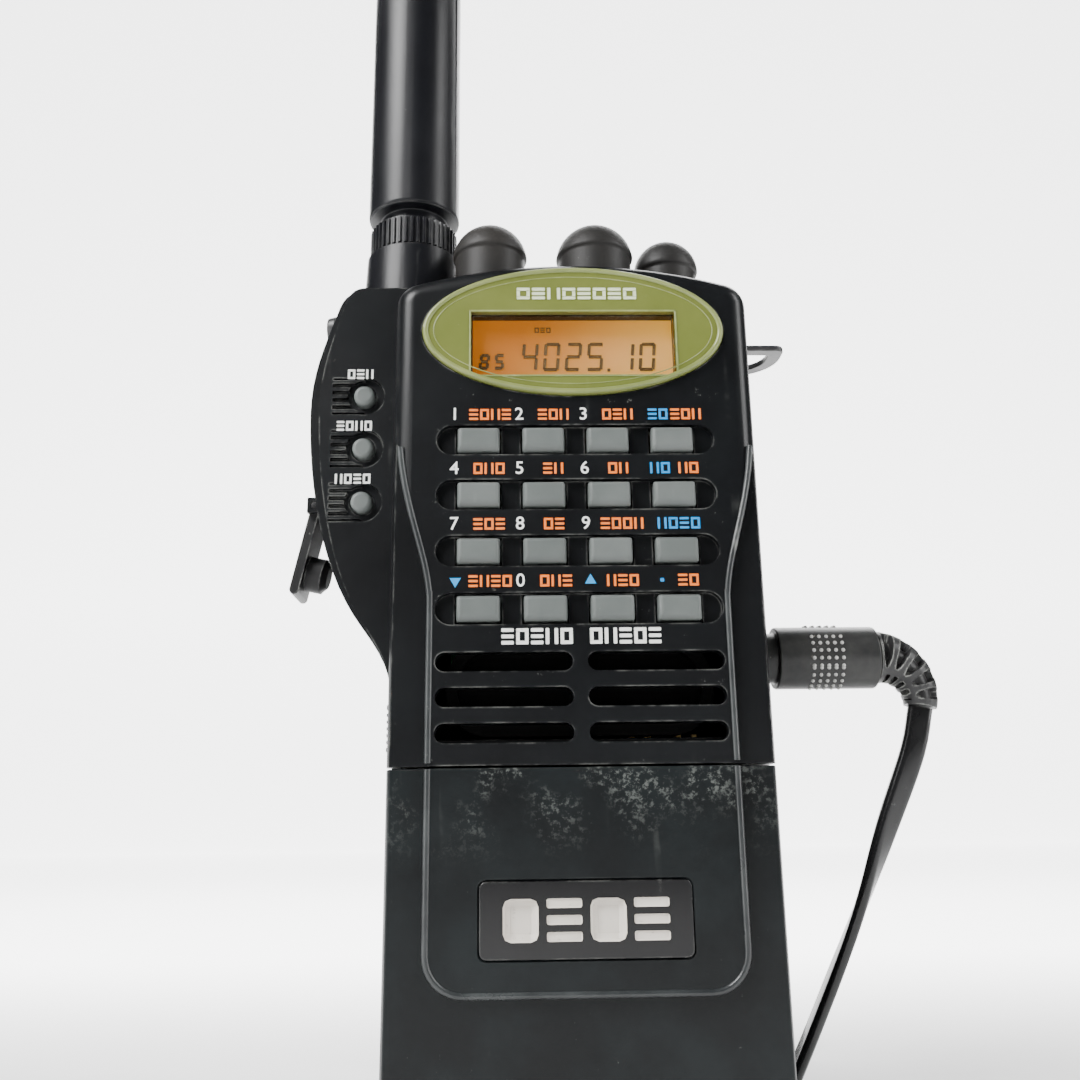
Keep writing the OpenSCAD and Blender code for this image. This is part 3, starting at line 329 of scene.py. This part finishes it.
circle = [(LIP_R * math.cos(math.radians(30 * k)), LIP_R * math.sin(math.radians(30 * k)))
          for k in range(12)]
facing_out = Vector((0, -1, 0))
lips = [sweep("panel_lip_" + name, path, lambda i: facing_out, lambda i: circle)
        for name, path in (("left", waist_line(-1)), ("right", waist_line(1)), ("pack", pack_line()))]
for lip, body in zip(lips, ("radio", "radio", "battery")):
    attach(lip, body)

# %% [markdown]
# ## Drawing small flat marks
# Printed marks are thin raised shapes. `bar` adds one rounded block, `digits`
# writes numbers, and `weld` joins what was drawn into one piece of one colour.

# %% Mark helpers
FACE = -18.0
INK = 0.04
drawn = []


def bar(x, z, w, h, y=FACE, thick=INK, lean=0.0):
    bpy.ops.mesh.primitive_cube_add(size=1, location=(x * MM, (y - thick / 2) * MM, z * MM))
    block = bpy.context.object
    block.scale = (w * MM, thick * MM, h * MM)
    bpy.ops.object.transform_apply(location=False, rotation=False, scale=True)
    bpy.ops.object.mode_set(mode="EDIT")
    bpy.ops.mesh.select_all(action="DESELECT")
    bpy.ops.object.mode_set(mode="OBJECT")
    for edge in block.data.edges:
        a, b = (block.data.vertices[v].co for v in edge.vertices)
        edge.select = abs(a.x - b.x) + abs(a.z - b.z) < 1e-9
    bpy.ops.object.mode_set(mode="EDIT")
    bpy.ops.mesh.bevel(offset=min(w, h) * 0.22 * MM, segments=2)
    bpy.ops.object.mode_set(mode="OBJECT")
    block.rotation_euler = (0, lean, 0)
    drawn.append(block)
    block.select_set(False)


def arrow(x, z, size, up, y=FACE):
    bpy.ops.mesh.primitive_circle_add(vertices=3, radius=size * MM, fill_type="NGON",
                                      location=(x * MM, y * MM, z * MM),
                                      rotation=(math.radians(90), 0 if up else math.radians(180), 0))
    piece = bpy.context.object
    bpy.ops.object.mode_set(mode="EDIT")
    bpy.ops.mesh.extrude_region_move(TRANSFORM_OT_translate={"value": (0, -INK * MM, 0)})
    bpy.ops.object.mode_set(mode="OBJECT")
    drawn.append(piece)
    piece.select_set(False)


def digits(text, x, z, size, y=FACE):
    bpy.ops.object.text_add(location=(x * MM, y * MM, z * MM), rotation=(math.radians(90), 0, 0))
    piece = bpy.context.object
    piece.data.body = text
    piece.data.size = size * MM
    piece.data.align_x = "CENTER"
    piece.data.align_y = "CENTER"
    piece.data.extrude = INK / 2 * MM
    piece.data.offset = 0.02 * MM
    piece.data.resolution_u = 3
    bpy.ops.object.convert(target="MESH")
    drawn.append(bpy.context.object)
    bpy.context.object.select_set(False)


def sign(kind, x, z, w, h, y, t):
    """One blank sign as wide as w and as high as h, drawn with strokes as thick as t."""
    if kind in "=r":
        for dz in ((h - t) / 2, 0, (t - h) / 2) if kind == "=" else ((h - t) / 2, (t - h) / 2):
            bar(x, z + dz, w, t, y)
    if kind in "|r":
        for dx in ((w - t) / 2, (t - w) / 2):
            bar(x + dx, z, t, h if kind == "|" else h - 1.6 * t, y)
    if kind == "#":
        bar(x, z, w, h, y)


def word(x, z, h, kinds, w=1.35, y=FACE, gap=0.28, t=0.36, ends=0):
    """A row of blank signs where printing stands: centred on x, or ending at x."""
    total = len(kinds) * w + gap * (len(kinds) - 1)
    at = x - total / 2 + w / 2 if not ends else x - total + w / 2
    for kind in kinds:
        if kind != " ":
            sign(kind, at, z, w, h, y, t)
        at += w + gap


def weld(name, node):
    bpy.ops.object.select_all(action="DESELECT")
    for piece in drawn:
        piece.select_set(True)
    bpy.context.view_layer.objects.active = drawn[0]
    bpy.ops.object.join()
    piece = bpy.context.object
    piece.name = name
    bpy.ops.object.transform_apply(location=True, rotation=True, scale=True)
    bpy.ops.object.mode_set(mode="EDIT")
    bpy.ops.mesh.select_all(action="SELECT")
    bpy.ops.mesh.normals_make_consistent(inside=False)
    bpy.ops.object.mode_set(mode="OBJECT")
    piece.select_set(False)
    drawn.clear()
    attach(piece, body_of[node])
    return piece


# %% [markdown]
# ## Printing on the front
# Digits stand to the left of the number keys. Short blank blocks take the place
# of the words above the keys, above the side buttons and over the speaker.

# %% Front printing
def centre(node):
    a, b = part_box(node)
    return Vector(((a[0] + b[0]) / 2, (a[1] + b[1]) / 2, (a[2] + b[2]) / 2)) / MM


ROWS = [["key_1", "key_2", "key_3", "key_enter"], ["key_4", "key_5", "key_6", "key_recall"],
        ["key_7", "key_8", "key_9", "key_mode"], ["key_down", "key_0", "key_up", "key_dot"]]
DIGIT = {"key_1": "1", "key_2": "2", "key_3": "3", "key_4": "4", "key_5": "5", "key_6": "6",
         "key_7": "7", "key_8": "8", "key_9": "9", "key_0": "0"}
LABEL_UP = 4.0
LETTER = 1.75
SHOULDER_FACE = -13
SPEAKER_TITLE_Z = 74.85
places = {n: centre(n) for row in ROWS for n in row}
for n, text in DIGIT.items():
    digits(text, places[n].x - 3.55, places[n].z + LABEL_UP, 2.75)
word(0.2, SPEAKER_TITLE_Z, 2.3, "=r=|r r|=r=", w=1.75, gap=0.34, t=0.5)
for n, kinds in zip(BUTTONS, ("r=|", "=r|r", "|r=r")):
    c = centre(n)
    word(c.x + 1.3, c.z + 3.65, 1.6, kinds, w=1.15, y=SHOULDER_FACE, gap=0.26, t=0.34, ends=1)
white_print = weld("print_white", "front_case")
ORANGE = {"key_1": "=r|=", "key_2": "=r|", "key_3": "r=|", "key_enter": "=r|", "key_4": "r|r",
          "key_5": "=|", "key_6": "r|", "key_recall": "|r", "key_7": "=r=", "key_8": "r=",
          "key_9": "=rr|", "key_down": "=|=r", "key_0": "r|=", "key_up": "|=r", "key_dot": "=r"}
for n, kinds in ORANGE.items():
    shift = 2.2 if n in ("key_enter", "key_recall") else 1.7 + 0.15 * len(kinds) - 0.6
    word(places[n].x + shift, places[n].z + LABEL_UP, LETTER, kinds)
orange_print = weld("print_orange", "front_case")
word(places["key_enter"].x - 2.0, places["key_enter"].z + LABEL_UP, LETTER, "=r")
word(places["key_recall"].x - 2.0, places["key_recall"].z + LABEL_UP, LETTER, "|r")
word(places["key_mode"].x + 0.4, places["key_mode"].z + LABEL_UP, LETTER, "|r=r")
arrow(places["key_down"].x - 3.3, places["key_down"].z + LABEL_UP, 0.95, False)
arrow(places["key_up"].x - 3.1, places["key_up"].z + LABEL_UP, 0.95, True)
bar(places["key_dot"].x - 2.4, places["key_dot"].z + LABEL_UP, 0.55, 0.55)
blue_print = weld("print_blue", "front_case")

# %% Display segments
SEGMENTS = {"8": "abcdefg", "0": "abcdef", "2": "abged", "1": "bc", "5": "afgcd", "4": "fgbc"}
LCD_Y = -15.82
LCD_INK = 0.03


def seven(text, x, z, w, h, pitch):
    """Numbers made of seven bars each, leaning a little."""
    t = 0.5
    for i, ch in enumerate(text):
        cx = x + i * pitch
        for s in SEGMENTS[ch]:
            dx = {"a": 0.12, "g": 0, "d": -0.12}.get(s)
            if dx is not None:
                up = {"a": 1, "g": 0, "d": -1}[s]
                bar(cx + dx * h * 0.4, z + up * (h - t) / 2, w - t, t, LCD_Y, LCD_INK)
            else:
                sx = 1 if s in "bc" else -1
                up = 1 if s in "bf" else -1
                bar(cx + sx * (w - t) / 2 + up * 0.09, z + up * h / 4, t, h / 2 - t, LCD_Y, LCD_INK,
                    lean=0.09)


window = centre("display_window")
seven("4025", window.x - 6.6, window.z - 1.1, 2.5, 4.7, 3.35)
seven("10", window.x + 8.2, window.z - 1.1, 2.5, 4.7, 3.3)
bar(window.x + 5.5, window.z - 3.3, 0.45, 0.45, LCD_Y, LCD_INK)
seven("85", window.x - 13.6, window.z - 1.9, 1.6, 2.6, 2.3)
word(window.x - 4.6, window.z + 3.4, 0.9, "r=r", w=0.7, y=LCD_Y, gap=0.2, t=0.2)
segments = weld("display_segments", "lcd_panel")

# %% [markdown]
# ## Bezel rim and window frame
# A raised lip runs round the oval bezel and a fine line follows it inside. Both
# start as a torus that is scaled to an oval in edit mode.

# %% Bezel rim
bezel = centre("display_bezel")
low_corner, high_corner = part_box("display_bezel")
BEZEL_A = (high_corner[0] - low_corner[0]) / 2 / MM
BEZEL_B = (high_corner[2] - low_corner[2]) / 2 / MM


def oval_ring(name, shrink, thick, y):
    bpy.ops.mesh.primitive_torus_add(major_radius=1, minor_radius=thick, major_segments=128,
                                     minor_segments=10, rotation=(math.radians(90), 0, 0))
    ring = bpy.context.object
    bpy.ops.object.transform_apply(rotation=True)
    for v in ring.data.vertices:
        a = math.atan2(v.co.z, v.co.x)
        r = math.hypot(v.co.x, v.co.z) - 1
        v.co.x = (math.cos(a) * (BEZEL_A - shrink + r) + bezel.x) * MM
        v.co.z = (math.sin(a) * (BEZEL_B - shrink + r) + bezel.z) * MM
        v.co.y = (y + v.co.y) * MM
    ring.name = name
    bpy.ops.object.shade_smooth()
    ring.select_set(False)
    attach(ring, "radio")
    return ring


BEZEL_FACE = -18.5
rim = oval_ring("bezel_rim", 0.55, 0.42, BEZEL_FACE + 0.08)
line = oval_ring("bezel_line", 1.75, 0.09, BEZEL_FACE)
a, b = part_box("display_window")
wide, tall = (b[0] - a[0]) / MM + 0.6, (b[2] - a[2]) / MM + 0.6
for x, z, w, h in ((window.x, b[2] / MM + 0.15, wide, 0.3), (window.x, a[2] / MM - 0.15, wide, 0.3),
                   (a[0] / MM - 0.15, window.z, 0.3, tall), (b[0] / MM + 0.15, window.z, 0.3, tall)):
    bar(x, z, w, h, BEZEL_FACE, 0.12)
window_frame = weld("window_frame", "display_bezel")
word(bezel.x + 0.6, bezel.z + 6.05, 1.95, "r=|r=r=r", w=2.0, y=BEZEL_FACE, gap=0.34, t=0.5)
bezel_print = weld("print_bezel", "display_bezel")

# %% Badge
badge = centre("badge_plate")
BADGE_FACE, BADGE_PITCH = -18.25, 5.8
for k, kind in enumerate("#=#="):
    sign(kind, badge.x + BADGE_PITCH * (k - 1.5), badge.z, 4.7, 5.4, BADGE_FACE, 1.2)
badge_marks = weld("badge_marks", "badge_plate")

# %% Plug grip dots
GRIP_R, DOTS_X, DOT_PITCH = 4.85, 36.6, 1.13
for group in (6, 106, 206, 306):
    for row in range(5):
        for col in range(5):
            a = math.radians(group - 28 + 14 * row)
            spot = (DOTS_X + DOT_PITCH * col, -1 - GRIP_R * math.cos(a), AXIS_Z + GRIP_R * math.sin(a))
            bpy.ops.mesh.primitive_uv_sphere_add(segments=8, ring_count=6, radius=0.3 * MM,
                                                 location=[c * MM for c in spot])
            drawn.append(bpy.context.object)
            bpy.context.object.select_set(False)
grip_dots = weld("grip_dots", "dc_plug")

# %% [markdown]
# ## Materials
# `Wire` is one output of a shader node. Sums and products of wires add Math
# nodes, and `node` adds any other node, so a material reads like a formula.


# %% Node helper
class Wire:
    def __init__(self, tree, socket=None):
        self.tree, self.socket = tree, socket

    def node(self, kind, inputs=None, output=0, **settings):
        made = self.tree.nodes.new("ShaderNode" + kind)
        for key, value in settings.items():
            setattr(made, key, value)
        for key, value in (inputs or {}).items():
            if isinstance(value, Wire):
                self.tree.links.new(value.socket, made.inputs[key])
            else:
                made.inputs[key].default_value = value
        return Wire(self.tree, made.outputs[output])

    def math(self, operation, *values):
        inputs = {i: v for i, v in enumerate((self,) + values)}
        return self.node("Math", inputs, operation=operation)

    def __add__(self, other):
        return self.math("ADD", other)

    def __sub__(self, other):
        return self.math("SUBTRACT", other)

    def __mul__(self, other):
        return self.math("MULTIPLY", other)

    def __rsub__(self, other):
        return self.math("MULTIPLY", -1.0).math("ADD", other)

    def over(self, low_value, high_value):
        """0 below low_value, 1 above high_value, and a smooth step between."""
        return self.node("MapRange", {0: self, 1: low_value, 2: high_value},
                         interpolation_type="SMOOTHSTEP")

    def noise(self, scale, detail=3.0, rough=0.5, stretch=None):
        place = self
        if stretch:
            place = self.node("Mapping", {"Vector": self, "Scale": stretch})
        return self.node("TexNoise", {"Vector": place, "Scale": scale, "Detail": detail,
                                      "Roughness": rough})

    def blend(self, low_colour, high_colour):
        """low_colour where this is 0, high_colour where it is 1."""
        return self.node("Mix", {0: self, 6: low_colour, 7: high_colour}, output=2,
                         data_type="RGBA")


def colour(r, g, b):
    return (r, g, b, 1.0)


def new_material(name):
    material = bpy.data.materials.new(name)
    material.use_nodes = True
    tree = material.node_tree
    shader = tree.nodes["Principled BSDF"]
    place = Wire(tree).node("TexCoord", output=3)
    return material, tree, shader, place


def plug_in(tree, shader, **values):
    names = {"base": "Base Color", "rough": "Roughness", "metal": "Metallic", "coat": "Coat Weight",
             "alpha": "Alpha", "glow": "Emission Color", "normal": "Normal"}
    for key, value in values.items():
        socket = shader.inputs[names[key]]
        if isinstance(value, Wire):
            tree.links.new(value.socket, socket)
        else:
            socket.default_value = value


def moulded(name, base, light, rough, grain=0.035, scuffs=0.5, dust=0.0, dust_tone=(0.42, 0.43, 0.4),
            grain_scale=5200.0, edge_wear=0.25, coat=0.0, band=None, shine_level=0.24):
    """Moulded plastic or rubber: two tones, fine grain, scratches, dust and rubbed edges."""
    material, tree, shader, place = new_material(name)
    clouds = place.noise(55.0, 5.0, 0.6).over(0.35, 0.7)
    tone = clouds.blend(base, light)
    streaks = place.noise(420.0, 2.0, 0.4, (1.0, 1.0, 0.09)).over(0.66, 0.74)
    patch = place.noise(70.0, 4.0, 0.65).over(0.5, 0.68)
    scratch = streaks * patch * scuffs
    specks = place.noise(900.0, 3.0, 0.7).over(0.66, 0.74) * place.noise(90.0, 4.0, 0.6).over(0.5, 0.66)
    wear_mask = scratch + specks * dust
    if band:
        height = place.node("SeparateXYZ", {0: place}, output=2)
        mottle = place.noise(1300.0, 5.0, 0.75).over(0.5, 0.62)
        wear_mask = wear_mask + height.over(*band) * mottle * place.noise(120.0).over(0.42, 0.6) * 0.4
    shader.inputs["Specular IOR Level"].default_value = shine_level
    soft = place.node("Bevel", {"Radius": 0.0005}, samples=6)
    flat = place.node("NewGeometry", output=1)
    facing = soft.node("VectorMath", {0: soft, 1: flat}, output=1, operation="DOT_PRODUCT")
    edge = (1.0 - facing).over(0.01, 0.16) * place.noise(260.0, 4.0, 0.7).over(0.42, 0.66)
    mask = (wear_mask + edge * edge_wear).math("MINIMUM", 1.0)
    tone = mask.blend(tone, colour(*dust_tone))
    fine = place.noise(grain_scale, 2.0, 0.6)
    bump = fine.node("Bump", {"Strength": 0.35, "Distance": grain * MM, "Height": fine})
    shine = (place.noise(38.0, 4.0, 0.6) - 0.5) * 0.22 + rough + mask * 0.25
    plug_in(tree, shader, base=tone, rough=shine, normal=bump, coat=coat)
    return material


def metal(name, base, rough, worn=(0.7, 0.69, 0.66), paint=0.0, wear=0.3, tarnish=0.3):
    """Bare or painted metal with brushed lines, tarnish and worn edges."""
    material, tree, shader, place = new_material(name)
    lines = place.noise(900.0, 2.0, 0.5, (1.0, 1.0, 0.06))
    patch = place.noise(120.0, 4.0, 0.6).over(0.45, 0.7)
    dark = colour(*(c * 0.45 for c in base[:3]))
    tone = (patch * tarnish).blend(base, dark)
    soft = place.node("Bevel", {"Radius": 0.0004}, samples=6)
    flat = place.node("NewGeometry", output=1)
    facing = soft.node("VectorMath", {0: soft, 1: flat}, output=1, operation="DOT_PRODUCT")
    edge = (1.0 - facing).over(0.02, 0.2) * place.noise(400.0, 4.0, 0.7).over(0.4, 0.6)
    bare = (edge * wear).math("MINIMUM", 1.0)
    tone = bare.blend(tone, colour(*worn))
    bump = lines.node("Bump", {"Strength": 0.25, "Distance": 0.02 * MM, "Height": lines})
    plug_in(tree, shader, base=tone, rough=lines * 0.16 + rough + patch * 0.12,
            metal=bare + (1.0 - paint) if paint else 1.0, normal=bump)
    return material


def printed(name, ink, glow=0.0):
    """Screen print: slightly uneven ink with a few missing flecks."""
    material, tree, shader, place = new_material(name)
    worn = place.noise(1500.0, 3.0, 0.6).over(0.6, 0.75) * 0.35
    dark = colour(*(c * 0.35 for c in ink[:3]))
    plug_in(tree, shader, base=worn.blend(ink, dark), rough=place.noise(600.0) * 0.2 + 0.4)
    if glow:
        shader.inputs["Emission Strength"].default_value = glow
        shader.inputs["Emission Color"].default_value = ink
    return material


# %% Case, keys and rubber
case = moulded("case_black", colour(0.0028, 0.0031, 0.0037), colour(0.0048, 0.0056, 0.0064), 0.34,
               scuffs=0.05, dust=0.2)
pack = moulded("case_pack", colour(0.0034, 0.0043, 0.0048), colour(0.0075, 0.0102, 0.011), 0.33,
               scuffs=0.08, dust=0.35, band=(0.043, 0.0565), dust_tone=(0.2, 0.215, 0.2))
key_grey = moulded("key_grey", colour(0.088, 0.098, 0.094), colour(0.115, 0.126, 0.121), 0.42,
                   scuffs=0.15, dust=0.1, edge_wear=0.35)
knob_rubber = moulded("knob_rubber", colour(0.012, 0.0115, 0.011), colour(0.022, 0.02, 0.018), 0.5,
                      scuffs=0.1, dust=0.3, grain=0.05)
sleeve_rubber = moulded("sleeve_rubber", colour(0.0035, 0.0037, 0.005), colour(0.0055, 0.0058, 0.0075),
                        0.36, scuffs=0.12, dust=0.06, edge_wear=0.1)
cover_rubber = moulded("cover_rubber", colour(0.006, 0.006, 0.0065), colour(0.014, 0.014, 0.0145), 0.45,
                       scuffs=0.4, dust=0.4, edge_wear=0.6)
plug_vinyl = moulded("plug_vinyl", colour(0.01, 0.0105, 0.011), colour(0.045, 0.045, 0.043), 0.36,
                     scuffs=0.7, dust=0.9, dust_tone=(0.5, 0.47, 0.4), edge_wear=0.5)
relief_vinyl = moulded("relief_vinyl", colour(0.014, 0.014, 0.0145), colour(0.05, 0.05, 0.05), 0.36,
                       scuffs=0.4, dust=0.3, edge_wear=0.7)
cord_vinyl = moulded("cord_vinyl", colour(0.004, 0.004, 0.0043), colour(0.009, 0.009, 0.0095), 0.26,
                     scuffs=0.25, dust=0.25, coat=0.3)
badge_black = moulded("badge_black", colour(0.002, 0.002, 0.0025), colour(0.003, 0.003, 0.0035), 0.24,
                      scuffs=0.2, dust=0.25, grain=0.01, coat=0.4)
olive = moulded("bezel_olive", colour(0.105, 0.125, 0.026), colour(0.13, 0.15, 0.036), 0.36,
                scuffs=0.08, dust=0.12, dust_tone=(0.5, 0.52, 0.3), edge_wear=0.2, coat=0.3)
olive_rim = moulded("rim_olive", colour(0.15, 0.18, 0.055), colour(0.22, 0.25, 0.09), 0.3,
                    scuffs=0.1, dust=0.1, dust_tone=(0.5, 0.52, 0.3), coat=0.4)
# Painted shade: near-black, dull and almost without reflection, so the speaker and jack insides seen
# through slots and holes read as deep shade.
inner_painted_shade = moulded("inner_painted_shade", colour(0.001, 0.001, 0.001), colour(0.002, 0.002, 0.002), 0.8,
                      scuffs=0.0, edge_wear=0.0, shine_level=0.05)
membrane = moulded("membrane_grey", colour(0.3, 0.3, 0.28), colour(0.36, 0.36, 0.34), 0.6)
board = moulded("board_green", colour(0.012, 0.1, 0.04), colour(0.02, 0.14, 0.06), 0.35)
cell_wrap = moulded("cell_wrap", colour(0.03, 0.09, 0.22), colour(0.05, 0.12, 0.28), 0.3)

# Painted highlight: the lips are the case's black plastic made about four times lighter and shinier, so
# the panel edges show a bright line.
lip_painted_highlight = moulded("lip_painted_highlight", colour(0.012, 0.014, 0.015), colour(0.05, 0.055, 0.055), 0.3,
                    scuffs=0.3, dust=0.3, edge_wear=0.0, shine_level=0.5)

# %% Metals and prints
black_steel = metal("black_steel", colour(0.02, 0.02, 0.021), 0.32, paint=1.0, wear=0.9)
plated = metal("plated_steel", colour(0.55, 0.55, 0.56), 0.28)
nickel = metal("nickel", colour(0.66, 0.64, 0.6), 0.2)
gold = metal("contact_gold", colour(0.85, 0.62, 0.25), 0.22)
white_ink = printed("ink_white", colour(0.8, 0.81, 0.78))
orange_ink = printed("ink_orange", colour(0.82, 0.2, 0.018))
blue_ink = printed("ink_blue", colour(0.008, 0.26, 0.6))
silver_ink = printed("ink_silver", colour(0.62, 0.58, 0.52))
pale_ink = printed("ink_pale", colour(0.6, 0.66, 0.45))
# The grip dots are the plug's vinyl painted light grey: partly rubbed wear, partly a painted highlight
# on each raised dot.
dot_wear_and_highlight = printed("dot_wear_and_highlight", colour(0.4, 0.4, 0.38))

# %% [markdown]
# ## The lit display
# The panel glows from dark orange on the left to yellow at the lower right,
# where the lamp sits behind it.

# %% Display materials
lcd, tree, shader, place = new_material("lcd_amber")
right = place.node("SeparateXYZ", {0: place})
up = place.node("SeparateXYZ", {0: place}, output=2)
window_z = window.z * MM
lamp_x = (right * (1 / 0.016)) * 0.5 + 0.5
drop = (up - window_z) * (1 / 0.0055)
warm = (lamp_x - drop * 0.16).over(0.1, 1.1)
uneven = place.noise(180.0, 3.0, 0.5) * 0.12
amber = (warm + uneven - 0.06).blend(colour(0.46, 0.12, 0.0), colour(1.0, 0.48, 0.0))
plug_in(tree, shader, base=(warm * 0.1).blend(colour(0.2, 0.06, 0.0), colour(1, 1, 1)), rough=0.5,
        glow=amber)
shader.inputs["Emission Strength"].default_value = 0.8
segment_ink = printed("ink_segment", colour(0.09, 0.045, 0.008))
backlight = printed("backlight_cream", colour(0.9, 0.55, 0.2))

glass, tree, shader, place = new_material("window_clear")
haze = place.noise(300.0, 4.0, 0.6)
plug_in(tree, shader, base=haze.blend(colour(0.06, 0.04, 0.01), colour(0.09, 0.06, 0.02)),
        rough=haze * 0.08 + 0.05, alpha=haze * 0.04 + 0.05)
shader.inputs["IOR"].default_value = 1.46


# %% Assign
def dress(material, *pieces):
    for piece in pieces:
        piece.data.materials.clear()
        piece.data.materials.append(material)


dress(case, *(finished[n] for n in ("front_case", "rear_case", "base_plate", "battery_catch")))
dress(pack, finished["battery_case"], finished["battery_back"])
dress(lip_painted_highlight, *lips)
dress(key_grey, *(finished[n] for n in KEYS + BUTTONS))
dress(knob_rubber, *(finished[n] for n in KNOBS))
dress(sleeve_rubber, finished["antenna_sleeve"], finished["antenna_coupling"])
dress(cover_rubber, finished["jack_cover"])
dress(plug_vinyl, finished["dc_plug"], finished["far_plug"])
dress(relief_vinyl, relief)
dress(cord_vinyl, cord, finished["cord_tie"])
dress(badge_black, finished["badge_plate"])
dress(olive, finished["display_bezel"])
dress(olive_rim, rim, line, window_frame)
dress(pale_ink, bezel_print)
dress(white_ink, white_print)
dress(orange_ink, orange_print)
dress(blue_ink, blue_print)
dress(silver_ink, badge_marks)
dress(dot_wear_and_highlight, grip_dots)
dress(segment_ink, segments)
dress(black_steel, finished["belt_clip"], finished["strap_lug"], finished["strap_stud"])
dress(plated, finished["screws"], finished["control_nuts"], nodes["control_pots"],
      finished["catch_spring"], nodes["rf_shield"])
dress(nickel, finished["antenna_jack"])
dress(gold, nodes["supply_contacts"], nodes["battery_contacts"])
# Speaker and jacks carry painted shade, so the slots and holes look black.
dress(inner_painted_shade, nodes["speaker"], nodes["dc_jack"], nodes["audio_jacks"])
dress(membrane, nodes["keypad_membrane"])
dress(board, nodes["main_board"], nodes["rf_board"])
dress(cell_wrap, nodes["battery_cells"])
dress(lcd, nodes["lcd_panel"])
dress(backlight, nodes["backlight_plate"])
dress(glass, nodes["display_window"])

# %% [markdown]
# ## Riding
# Every new piece follows a CAD body, so it moves when a joint moves.

# %% Ride
for piece in (cord, relief):
    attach(piece, "radio")
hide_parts("dc_strain_relief")
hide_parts("cord_tube", "cord_coil")
[tuple(p * MM) for p in route]

# %% [markdown]
# ## Floor and light
# A pale sheet curves up behind the radio, and large soft lights stand round it.

# %% Stage
bpy.ops.mesh.primitive_plane_add(size=6, location=(0, 1.2, -0.0005))
floor = bpy.context.object
floor.name = "floor_sheet"
bpy.ops.object.mode_set(mode="EDIT")
bpy.ops.mesh.select_all(action="DESELECT")
bpy.ops.object.mode_set(mode="OBJECT")
for edge in floor.data.edges:
    edge.select = all(floor.data.vertices[v].co.y > 2.9 for v in edge.vertices)
bpy.ops.object.mode_set(mode="EDIT")
bpy.ops.mesh.extrude_region_move(TRANSFORM_OT_translate={"value": (0, 0, 4)})
bpy.ops.mesh.select_all(action="SELECT")
bpy.ops.object.mode_set(mode="OBJECT")
fold = floor.modifiers.new("fold", "BEVEL")
fold.width = 1.0
fold.segments = 16
bpy.ops.object.modifier_apply(modifier="fold")
bpy.ops.object.transform_apply(location=True, rotation=True, scale=True)
bpy.ops.object.shade_smooth()
floor.select_set(False)
paper, tree, shader, place = new_material("paper_white")
fibre = place.noise(80.0, 4.0, 0.6)
back = place.node("SeparateXYZ", {0: place}, output=1).over(0.06, 0.32)
plug_in(tree, shader, base=fibre.blend(colour(0.86, 0.86, 0.86), colour(0.9, 0.9, 0.9)), rough=0.9,
        glow=back.blend(colour(0, 0, 0), colour(1, 1, 1)))
shader.inputs["Emission Strength"].default_value = 4.0
dress(paper, floor)


def light(name, place_at, aim, size, power, tint=(1, 1, 1)):
    bpy.ops.object.light_add(type="AREA", location=place_at)
    lamp = bpy.context.object
    lamp.name = name
    lamp.data.shape = "RECTANGLE"
    lamp.data.size, lamp.data.size_y = size
    lamp.data.energy = power
    lamp.data.color = tint
    lamp.rotation_euler = (Vector(aim) - Vector(place_at)).to_track_quat("-Z", "Y").to_euler()
    lamp.select_set(False)


light("key_light", (-0.55, -0.5, 0.75), (0, 0, 0.1), (0.45, 0.45), 20)
light("right_strip", (0.5, -0.2, 0.3), (0, 0, 0.1), (0.12, 0.6), 3.5)
light("left_fill", (-0.6, -0.35, 0.12), (0, 0, 0.08), (0.15, 0.4), 2.2)
light("top_light", (0.05, 0.55, 0.7), (0, 0.2, 0.0), (0.8, 0.5), 10)
world = bpy.data.worlds.new("studio")
bpy.context.scene.world = world
world.use_nodes = True
world.node_tree.nodes["Background"].inputs["Color"].default_value = (1, 1, 1, 1)
world.node_tree.nodes["Background"].inputs["Strength"].default_value = 0.08
